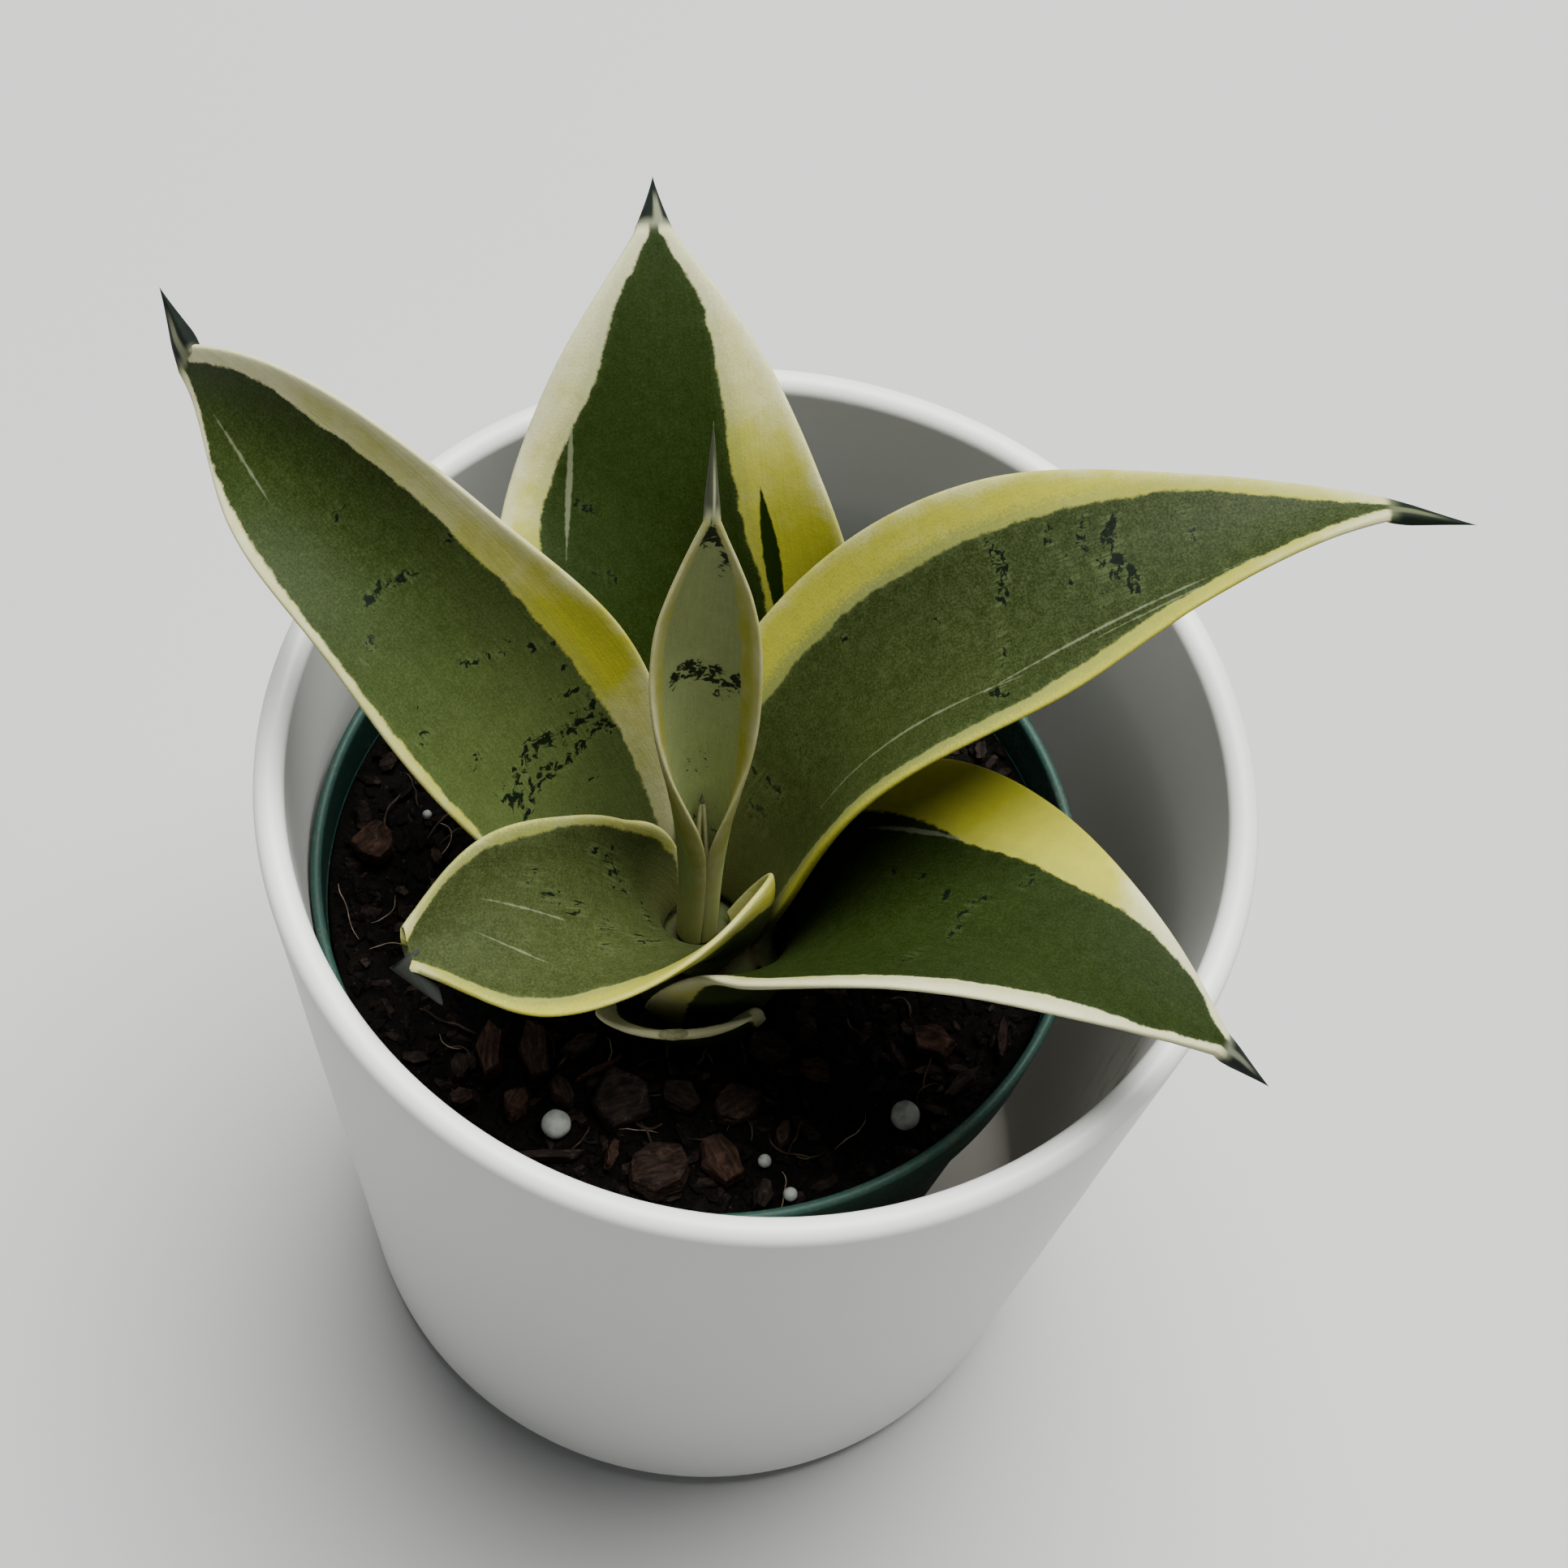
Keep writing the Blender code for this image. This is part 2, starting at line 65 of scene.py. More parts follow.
NURSERY_RIM_RADIUS = 51.8 * MM
NURSERY_BASE_RADIUS = 38.0 * MM
NURSERY_WALL = 0.9 * MM
NURSERY_FLOOR = 1.2 * MM
COLLAR_HEIGHT = 11.0 * MM
COLLAR_STEP = 1.4 * MM
COLLAR_DRAFT = 0.9 * MM
LIP_WIDTH = 1.5 * MM
LIP_HEIGHT = 1.4 * MM
DRAIN_RADIUS = 4.0 * MM
DRAIN_COUNT = 6
LEAN_HEADING = -153.0

NURSERY_Z = POT_FLOOR + GAP
NURSERY_RIM_Z = POT_HEIGHT - 21.4 * MM
COLLAR_Z = NURSERY_RIM_Z - COLLAR_HEIGHT
COLLAR_RADIUS = NURSERY_RIM_RADIUS - COLLAR_DRAFT
SHOULDER_RADIUS = COLLAR_RADIUS - COLLAR_STEP
SOIL_Z = NURSERY_RIM_Z - 7.6 * MM
SOIL_RADIUS = NURSERY_RIM_RADIUS - LIP_WIDTH - GAP

CROWN_RADIUS = 16.2 * MM
CROWN_DEPTH = 12.0 * MM
CROWN_PEAK = 4.0 * MM
CROWN_SLOPE = 0.36

# Leaves: angles in degrees, lengths in millimetres, each list evenly spaced
# from the foot of the blade to the base of its spike.
LEAVES = {
    "leaf_centre": {
        "clasp": 2.7,
        "heading": [114, 110, 107],
        "rise": [88, 77, 79, 92],
        "length": 78,
        "half_width": [7, 7.5, 9.5, 10, 7.5, 1],
        "cup": [179, 178, 108, 72, 56],
        "roll": [0, 1, -4, 0],
        "spike": [13, 65, 105],
        "spike_flat": 0.9,
        "spike_taper": 1.0,
        "thick": 1.6,
    },
    "leaf_front_left": {
        "clasp": 5.3,
        "heading": [262, 205, 216],
        "rise": [88, 47, 27, 19],
        "length": 56,
        "half_width": [13.5, 19, 18, 16, 12.5, 3],
        "cup": [148, 113, 73, 46, 36],
        "roll": [0, 24, -3, -19],
        "spike": [8, -22, 318],
        "spike_flat": 0.3,
        "spike_taper": 0.9,
        "thick": 2.4,
    },
    "leaf_right": {
        "clasp": 7.7,
        "heading": [57, 23, 17],
        "rise": [80, 57, 28, 0],
        "length": 113.5,
        "half_width": [7.5, 15.5, 18.5, 16.5, 9, 2],
        "cup": [55, 47, 40, 27, 33],
        "roll": [0, -7, 8, -12],
        "spike": [12, -5, 5],
        "spike_flat": 0.75,
        "spike_taper": 1.1,
        "thick": 2.4,
    },
    "leaf_left": {
        "clasp": 9.9,
        "heading": [163, 154, 138],
        "rise": [74, 54, 26, -21],
        "length": 104,
        "half_width": [8, 14.5, 17.5, 15, 12, 3],
        "cup": [46, 42, 43, 45, 25],
        "roll": [0, -13, -33, -64],
        "spike": [12, 10, 125],
        "spike_flat": 0.7,
        "spike_taper": 1.15,
        "thick": 2.4,
    },
    "leaf_front_right": {
        "clasp": 12.1,
        "heading": [-18, -20, -25],
        "rise": [88, 56, 23, -14],
        "length": 83,
        "half_width": [20.5, 19, 23.5, 20.5, 12.5, 2],
        "cup": [98, 60, 34, 21, 18],
        "roll": [0, -6, -18, -17],
        "spike": [11, -45, -5],
        "spike_flat": 0.7,
        "spike_taper": 1.1,
        "thick": 2.4,
    },
    "leaf_back": {
        "clasp": 14.2,
        "heading": [108, 108, 105],
        "rise": [79, 60, 43, 30],
        "length": 89,
        "half_width": [14.5, 19.5, 23.5, 22, 14.5, 2.5],
        "cup": [58, 37, 23, 18, 18],
        "roll": [0, 8, -20, -1],
        "spike": [11, -10, 100],
        "spike_flat": 0.7,
        "spike_taper": 1.2,
        "thick": 2.4,
    },
    "leaf_low_front": {
        "clasp": 14.3,
        "heading": [268, 270, 273],
        "rise": [78, 68, 65, 68],
        "length": 13,
        "half_width": [13, 12.5, 11.5, 10.5, 10, 2],
        "cup": [52, 51, 46, 30, 8],
        "roll": [0, 4, 6, 10],
        "spike": [2, 60, 280],
        "spike_flat": 0.5,
        "spike_taper": 0.8,
        "thick": 1.8,
    },
    "leaf_new": {
        "clasp": 1.0,
        "heading": [114, 112, 111],
        "rise": [88, 82, 77],
        "length": 27,
        "half_width": [2.6, 2.6, 2.4, 1.9, 1.2, 0.4],
        "cup": [150, 150, 150, 150, 140],
        "roll": [0, 0, 0],
        "spike": [2, 77, 111],
        "spike_flat": 0.9,
        "spike_taper": 1.0,
        "thick": 0.9,
    },
}
FOOT_THINNING = 0.7
FOOT_LIFT = 0.2
EDGE_FULLNESS = 0.6

# The markings of each leaf, in the blade's own flat shape. "low" and "high"
# say where the green field ends, in millimetres from the midrib, at eleven
# even steps from foot to spike; "gold_low" and "gold_high" how yellow the
# margin is there, and "haze" how much grey mottling lies beside the green.
# bands: place along the blade 0..1, from, to (mm across), strength, depth mm
# arch: how far the bands bow towards the spike, per square millimetre across
# foot, tip: green at either end of the blade; grey: how much grey lies on it
# young: how pale the foot is; spike: pale ridge and dark sides of the spike
# lengthwise: the dark marks run along the blade
# streaks: x and place at one end, x and place at the other, width mm
MARKINGS = {
    "leaf_back": {
        "low": [-8, -9.5, -11, -12, -12.2, -11.2, -9.4, -8.6, -7.4, -5.5, -0.5],
        "high": [9, 11, 13, 15, 16.5, 17.2, 16.7, 13.3, 8.5, 5.4, 0.6],
        "gold_low": [0.8, 0.85, 0.9, 1.0, 1.05, 1.0, 0.9, 0.7, 0.45, 0.25, 0.1],
        "gold_high": [0.8, 0.85, 0.9, 0.95, 0.95, 0.85, 0.65, 0.45, 0.3, 0.15, 0.1],
        "haze": [0.2, 0.2, 0.2, 0.2, 0.3, 0.4, 0.5, 0.6, 0.6, 0.5, 0.3],
        "bands": [(0.62, 9.5, 13, 0.62, 1.4), (0.515, 7.5, 10.5, 0.62, 1.6),
                  (0.41, 12, 19, 0.5, 1.0), (0.36, 10, 16, 0.5, 1.0),
                  (0.3, -6, 12, 0.45, 1.2), (0.22, -9, 10, 0.5, 1.6)],
        "pale_streaks": [(11.9, 0.745, 13.8, 0.55, 0.42)],
        "green_streaks": [(-12.4, 0.64, -13.6, 0.42, 1.15)],
        "foot": (0.0078, 0.0178, 0.0006),
        "tip": (0.0084, 0.0178, 0.0007),
        "grey": 0.12,
        "young": 0.1,
        "spike": ((0.13, 0.14, 0.09), (0.005, 0.008, 0.006)),
    },
    "leaf_left": {
        "low": [-7.9, -8.4, -9.4, -9.8, -9.7, -9.4, -8.9, -8.2, -6.5, -4.9, -0.6],
        "high": [7, 10.5, 14, 16.0, 16.2, 15.4, 14.0, 12.7, 10.7, 7.2, 1.4],
        "gold_low": [0.3, 0.3, 0.35, 0.6, 1.0, 0.8, 0.55, 0.45, 0.35, 0.25, 0.2],
        "gold_high": [0.8, 0.9, 1.0, 1.0, 0.9, 0.8, 0.7, 0.55, 0.45, 0.35, 0.3],
        "haze": [0.5, 0.5, 0.5, 0.4, 0.4, 0.35, 0.3, 0.25, 0.15, 0.1, 0.1],
        "bands": [(0.615, -1.2, 5.6, 0.72, 1.5), (0.595, 8.4, 11.6, 0.68, 1.3),
                  (0.615, -9, -7.2, 0.7, 1.3), (0.725, 0.6, 2.0, 0.8, 1.5),
                  (0.478, -4.4, 2.2, 0.62, 1.3), (0.475, 11.4, 13.8, 0.7, 1.3),
                  (0.447, -9.6, -6.2, 0.72, 1.3), (0.415, -9.4, -7.8, 0.7, 1.2),
                  (0.38, -9.2, -4, 0.62, 1.2), (0.395, 4.5, 10, 0.5, 1.4),
                  (0.335, -9.6, 10, 0.74, 2.6), (0.302, -9.6, 12, 0.72, 1.9),
                  (0.24, -5, 4, 0.45, 1.2), (0.5, 7, 12, 0.35, 1.4)],
        "arch": 0.012,
        "pale_streaks": [(3.2, 0.93, 6.2, 0.79, 0.2)],
        "foot": (0.054, 0.074, 0.019),
        "tip": (0.0112, 0.0212, 0.0013),
        "grey": 0.3,
        "young": 0.15,
        "spike": ((0.14, 0.15, 0.09), (0.005, 0.008, 0.006)),
    },
    "leaf_right": {
        "low": [-5, -9, -12.3, -15, -16, -15.8, -14, -10.7, -6.8, -3.9, -0.6],
        "high": [6, 8, 9.5, 10.4, 10.9, 10.6, 9.9, 8.4, 6.7, 3.3, 0.3],
        "gold_low": [1.2, 1.3, 1.35, 1.35, 1.35, 1.35, 1.3, 1.2, 1.1, 0.9, 0.6],
        "gold_high": [0.7, 0.8, 0.85, 0.9, 0.9, 0.85, 0.85, 0.9, 0.9, 0.8, 0.6],
        "haze": [0.9, 1.0, 1.0, 1.0, 1.0, 1.0, 0.9, 0.7, 0.5, 0.4, 0.3],
        "bands": [(0.715, -4.8, 6.2, 0.76, 1.7), (0.69, -5, 7.4, 0.6, 1.3),
                  (0.655, -2, 7.4, 0.5, 1.1), (0.587, 0.4, 9.2, 0.68, 1.5),
                  (0.552, -13, -10, 0.78, 1.5), (0.562, -8, -2, 0.5, 1.3),
                  (0.5, -1, 6, 0.4, 1.2), (0.386, 7.8, 9.6, 0.62, 1.1),
                  (0.79, 0, 5, 0.42, 1.4), (0.2, -1, 7, 0.55, 2.4),
                  (0.15, -1, 5, 0.62, 2.6), (0.27, -3, 4, 0.36, 2.4)],
        "pale_streaks": [(-5.6, 0.83, -10.6, 0.53, 0.2), (-10.6, 0.58, -8.6, 0.27, 0.2),
                         (-7.2, 0.8, -9.6, 0.66, 0.14)],
        "foot": (0.0225, 0.033, 0.0038),
        "tip": (0.0098, 0.0168, 0.0024),
        "grey": 0.45,
        "young": 0.75,
        "spike": ((0.075, 0.085, 0.045), (0.006, 0.010, 0.006)),
    },
    "leaf_front_right": {
        "low": [-15, -15.5, -17, -18.8, -20.2, -19.4, -16.8, -13.2, -9.4, -6.2, -0.8],
        "high": [13, 14.5, 16, 16.4, 15.0, 12.2, 11.3, 10.2, 8.9, 5.9, 0.6],
        "gold_low": [0.6, 0.6, 0.55, 0.5, 0.45, 0.4, 0.3, 0.25, 0.2, 0.15, 0.1],
        "gold_high": [0.8, 0.8, 0.9, 1.2, 1.5, 1.7, 1.6, 1.2, 0.5, 0.15, 0.1],
        "haze": [0.2, 0.2, 0.2, 0.2, 0.2, 0.3, 0.3, 0.3, 0.3, 0.3, 0.3],
        "bands": [(0.57, -12, -6.8, 0.6, 1.2), (0.575, -4, 4.4, 0.66, 1.5),
                  (0.52, 2.4, 4.8, 0.68, 1.2), (0.38, 5, 8.4, 0.62, 1.4),
                  (0.44, 5.4, 6.8, 0.66, 1.2), (0.63, 7.6, 10.2, 0.62, 1.3)],
        "pale_streaks": [(12.6, 0.5, 14.2, 0.3, 0.36)],
        "foot": (0.007, 0.0152, 0.0006),
        "tip": (0.0075, 0.0150, 0.0008),
        "grey": 0.15,
        "young": 0.1,
        "spike": ((0.10, 0.11, 0.075), (0.005, 0.008, 0.006)),
    },
    "leaf_front_left": {
        "low": [-12, -15.5, -17.5, -17.4, -16.8, -16, -14.8, -13, -10.8, -7, -1.2],
        "high": [10.5, 13.5, 15.5, 15.5, 14.5, 12.5, 11.4, 11, 9.6, 6.0, 1.5],
        "gold_low": [0.8, 0.8, 0.8, 0.85, 0.9, 0.9, 0.9, 0.9, 0.9, 0.9, 0.8],
        "gold_high": [0.8, 0.85, 0.9, 0.9, 0.9, 0.95, 1.0, 1.1, 1.2, 1.1, 0.8],
        "haze": [0.3, 0.3, 0.4, 0.4, 0.5, 0.6, 0.8, 0.9, 0.9, 0.8, 0.4],
        "bands": [(0.7, -9, -6.4, 0.62, 2.0), (0.64, -6.4, -4, 0.6, 2.4),
                  (0.56, -4.6, -2.6, 0.62, 3.0), (0.48, -2.8, -0.8, 0.66, 4.0),
                  (0.38, 0, 2, 0.62, 4.0), (0.42, -14, -9, 0.62, 3.6),
                  (0.33, -11, -8, 0.6, 3.0), (0.5, -13, -11, 0.62, 2.0),
                  (0.52, 1.4, 3.4, 0.5, 3.0), (0.25, -8, 2, 0.5, 3.0)],
        "pale_streaks": [(-0.6, 0.83, 4.6, 0.68, 0.16), (-4.8, 0.8, -2.0, 0.6, 0.12)],
        "foot": (0.03, 0.039, 0.0085),
        "tip": (0.021, 0.028, 0.0055),
        "grey": 0.4,
        "young": 0.8,
        "spike": ((0.034, 0.037, 0.030), (0.015, 0.017, 0.014)),
        "lengthwise": True,
    },
    "leaf_centre": {
        "low": [-5, -5.5, -6, -6.2, -6.4, -6.3, -5.8, -5.4, -4.5, -3.2, -0.6],
        "high": [5, 5.5, 6, 6.2, 6.4, 6.8, 6.5, 5.8, 4.8, 2.8, 0.6],
        "gold_low": [0.7] * 11,
        "gold_high": [0.7] * 11,
        "haze": [0.3, 0.3, 0.3, 0.3, 0.3, 0.3, 0.3, 0.3, 0.3, 0.3, 0.3],
        "bands": [(0.635, -5.4, 4.2, 0.78, 3.0), (0.6, -5, -1, 0.5, 2.4),
                  (0.435, -1, 3, 0.52, 3.4), (0.965, -1.6, 1.6, 1.0, 3.6),
                  (0.9, -3, -1.6, 0.6, 4.0), (0.52, -4, 4, 0.35, 3.0),
                  (0.3, -5, 5, 0.4, 4.0)],
        # the young leaf's own pale green, made lighter still as painted light on its shaded,
        # forward-facing inner face
        "foot": (0.34, 0.40, 0.15),
        "tip": (0.25, 0.29, 0.12),
        "grey": 0.35,
        "young": 1.0,
        "spike": ((0.27, 0.285, 0.16), (0.060, 0.066, 0.042)),
    },
    "leaf_low_front": {
        "low": [-11.5, -11, -10.6, -10, -9.4, -8.8, -8.2, -7.2, -4, 0, 1],
        "high": [11.5, 11, 10.6, 10, 9.4, 8.8, 8.2, 7.2, 4, 0, -1],
        "gold_low": [0.3] * 11,
        "gold_high": [0.3] * 11,
        "haze": [0.2] * 11,
        "foot": (0.006, 0.011, 0.001),
        "tip": (0.007, 0.012, 0.001),
        "grey": 0.0,
        "young": 0.0,
        "spike": ((0.40, 0.39, 0.22), (0.30, 0.30, 0.16)),
    },
    "leaf_new": {
        "low": [-1.6, -1.6, -1.6, -1.5, -1.4, -1.2, -1.0, -0.8, -0.6, -0.3, -0.1],
        "high": [1.6, 1.6, 1.6, 1.5, 1.4, 1.2, 1.0, 0.8, 0.6, 0.3, 0.1],
        "gold_low": [0.5] * 11,
        "gold_high": [0.5] * 11,
        "haze": [0.2] * 11,
        "foot": (0.24, 0.27, 0.07),
        "tip": (0.22, 0.25, 0.06),
        "grey": 0.2,
        "young": 1.0,
        "spike": ((0.20, 0.23, 0.08), (0.08, 0.09, 0.05)),
    },
}
MARKING_DEFAULTS = {
    "bands": [], "arch": 0.0, "pale_streaks": [], "green_streaks": [], "lengthwise": False,
}

# --- fineness of the meshes, and how many loose bits lie about ---------------
AROUND = 64
BLADE_ROWS = 204
SPIKE_ROWS = 16
POT_STEPS = 192
NURSERY_STEPS = 144
SOIL_STEPS = 300
SOIL_RINGS = 84
CROWN_STEPS = 96
CROWN_RINGS = 40
CRUMBS = 2600
SPLINTERS = 420
FIBRES = 80
BATCH = 100

# x, y from the nursery pot's axis, length, width, thickness, turn, tilt (mm, degrees)
BARK_CHIPS = [
    (-26.2, -32.7, 4.6, 2.9, 1.6, 92, 8),
    (-22.3, -29.7, 8.6, 3.6, 2.6, 96, -6),
    (-16.9, -28.6, 8.8, 4.4, 2.4, 105, 5),
    (-11.1, -26.6, 5.6, 2.6, 2.0, 37, 4),
    (-8.2, -29.5, 7.6, 0.9, 1.1, 39, 0),
    (-12.4, -34.0, 5.4, 2.6, 1.8, 123, 10),
    (-4.6, -33.6, 8.4, 8.2, 2.8, 32, 5),
    (-17.8, -36.6, 4.4, 3.6, 2.0, 72, -8),
    (-25.2, -37.0, 3.6, 2.6, 1.5, 21, 4),
    (-13.0, -43.0, 11.0, 1.5, 1.6, 13, 0),
    (-4.6, -41.2, 4.0, 1.8, 1.5, 85, 12),
    (2.2, -42.6, 8.6, 7.0, 2.6, 26, -5),
    (3.0, -31.6, 6.0, 4.2, 1.8, -21, 6),
    (9.6, -39.2, 7.4, 5.4, 2.0, -52, -7),
    (10.6, -31.4, 6.2, 5.4, 2.2, 42, 5),
    (13.6, -22.8, 6.6, 3.6, 2.4, -2, -5),
    (19.9, -24.4, 4.4, 3.0, 2.2, -5, 9),
    (17.0, -34.2, 4.0, 1.8, 1.6, 80, 0),
    (15.6, -43.0, 4.4, 2.4, 1.8, 84, 8),
    (34.9, -17.3, 6.2, 4.8, 2.2, -11, 6),
    (43.8, -15.4, 6.6, 1.2, 1.5, 94, 0),
    (39.2, -23.0, 6.6, 1.7, 1.6, 49, 0),
    (-44.0, -2.4, 5.6, 5.6, 2.0, 55, 7),
    (-35.4, -2.8, 2.7, 1.6, 1.4, 119, 0),
    (35.9, 28.2, 3.4, 1.8, 1.4, 92, 0),
]
# x, y from the nursery pot's axis, radius
BEADS = [
    (-12.2, -38.9, 1.9),
    (32.4, -29.3, 1.95),
    (19.2, -42.6, 0.95),
    (15.2, -38.6, 0.9),
    (-37.9, 3.4, 0.65),
]


# --- material writing -------------------------------------------------------
class Link:
    """A value running through a finish. Arithmetic on it adds Math nodes."""

    def __init__(self, finish, socket):
        self.finish = finish
        self.socket = socket

    def maths(self, operation, *values):
        settings = {"operation": operation}
        return self.finish.node("ShaderNodeMath", settings, dict(enumerate(values)))

    def __add__(self, other):
        return self.maths("ADD", self, other)

    def __radd__(self, other):
        return self.maths("ADD", other, self)

    def __sub__(self, other):
        return self.maths("SUBTRACT", self, other)

    def __rsub__(self, other):
        return self.maths("SUBTRACT", other, self)

    def __mul__(self, other):
        return self.maths("MULTIPLY", self, other)

    def __rmul__(self, other):
        return self.maths("MULTIPLY", other, self)

    def __truediv__(self, other):
        return self.maths("DIVIDE", self, other)

    def __abs__(self):
        return self.maths("ABSOLUTE", self)

    def least(self, other):
        return self.maths("MINIMUM", self, other)

    def most(self, other):
        return self.maths("MAXIMUM", self, other)

    def rising(self, low, high):
        """0 below low, 1 above high, eased between."""
        values = {"Value": self, "From Min": low, "From Max": high}
        return self.finish.node("ShaderNodeMapRange", {"interpolation_type": "SMOOTHSTEP"}, values)

    def parts(self):
        """The three numbers of a vector."""
        split = "ShaderNodeSeparateXYZ"
        return [self.finish.node(split, {}, {0: self}, output=k) for k in range(3)]


class Finish:
    """A material and the tools to write it."""

    def __init__(self, name, roughness=0.5, specular=0.5):
        self.material = bpy.data.materials.new(name)
        self.material.use_nodes = True
        self.tree = self.material.node_tree
        self.shader = self.tree.nodes["Principled BSDF"]
        self.shader.inputs["Roughness"].default_value = roughness
        self.shader.inputs["Specular IOR Level"].default_value = specular

    def node(self, kind, settings, values, output=0):
        made = self.tree.nodes.new(kind)
        for key, value in settings.items():
            if key == "stops":
                self.set_stops(made.color_ramp, value)
            else:
                setattr(made, key, value)
        for key, value in values.items():
            if isinstance(value, Link):
                self.tree.links.new(value.socket, made.inputs[key])
            else:
                made.inputs[key].default_value = value
        return Link(self, made.outputs[output])

    def set_stops(self, ramp, stops):
        while len(ramp.elements) < len(stops):
            ramp.elements.new(0.5)
        for element, (place, colour) in zip(ramp.elements, stops):
            element.position = place
            element.color = (*colour, 1.0)

    def place(self):
        """Position on the piece, in millimetres."""
        values = {"Vector": self.node("ShaderNodeTexCoord", {}, {}, output=3)}
        values["Scale"] = (1000.0, 1000.0, 1000.0)
        return self.node("ShaderNodeMapping", {}, values)

    def attribute(self, name):
        return self.node("ShaderNodeAttribute", {"attribute_name": name}, {}, output=1)

    def vector(self, x, y, z):
        return self.node("ShaderNodeCombineXYZ", {}, {0: x, 1: y, 2: z})

    def grain(self, where, scale, detail=2.0, roughness=0.5, twist=0.0):
        """Cloudy noise, around 0.5, on positions in millimetres."""
        values = {"Vector": where, "Scale": scale, "Detail": detail}
        values["Roughness"] = roughness
        values["Distortion"] = twist
        return self.node("ShaderNodeTexNoise", {}, values)

    def cells(self, where, scale):
        """Distance to the nearest of scattered points."""
        return self.node("ShaderNodeTexVoronoi", {}, {"Vector": where, "Scale": scale})

    def mix(self, share, first, second, blend="MIX"):
        """Two colours, or a colour and a shade, mixed."""
        settings = {"data_type": "RGBA", "blend_type": blend}
        values = {0: share}
        for key, colour in ((6, first), (7, second)):
            values[key] = colour if isinstance(colour, Link) else (*colour, 1.0)
        return self.node("ShaderNodeMix", settings, values, output=2)

    def shade(self, colour, amount):
        """The colour made lighter or darker by a number around 1."""
        grey = self.node("ShaderNodeCombineColor", {}, {0: amount, 1: amount, 2: amount})
        return self.mix(1.0, colour, grey, blend="MULTIPLY")

    def feed(self, socket, link):
        self.tree.links.new(link.socket, self.shader.inputs[socket])

    def bump(self, height, depth, strength=1.0):
        """Relief whose height is a number and depth is in metres."""
        values = {"Height": height, "Distance": depth, "Strength": strength}
        self.feed("Normal", self.node("ShaderNodeBump", {}, values))


# --- leaf finishes ------------------------------------------------------------
CREAM = (0.50, 0.49, 0.285)
GOLD = (0.32, 0.31, 0.028)
HAZE = (0.108, 0.136, 0.056)
MARK = (0.0008, 0.004, 0.0018)
STREAK = (0.22, 0.24, 0.15)
OUTER_GREEN = (0.015, 0.028, 0.006)
YOUNG = (0.36, 0.38, 0.14)


def streak(x, v, line, ragged):
    """Mask of a tapering, rough-edged streak between two points of the blade."""
    x0, v0, x1, v1, width = line
    slope = (x1 - x0) / (v1 - v0)
    off_line = abs(x - (v * slope + (x0 - v0 * slope)))
    from_middle = (v - (v0 + v1) / 2) * (2 / abs(v1 - v0))
    taper = (1 - from_middle * from_middle) * width
    return (taper - off_line + (ragged - 0.5) * 0.6).rising(-0.12, 0.16)


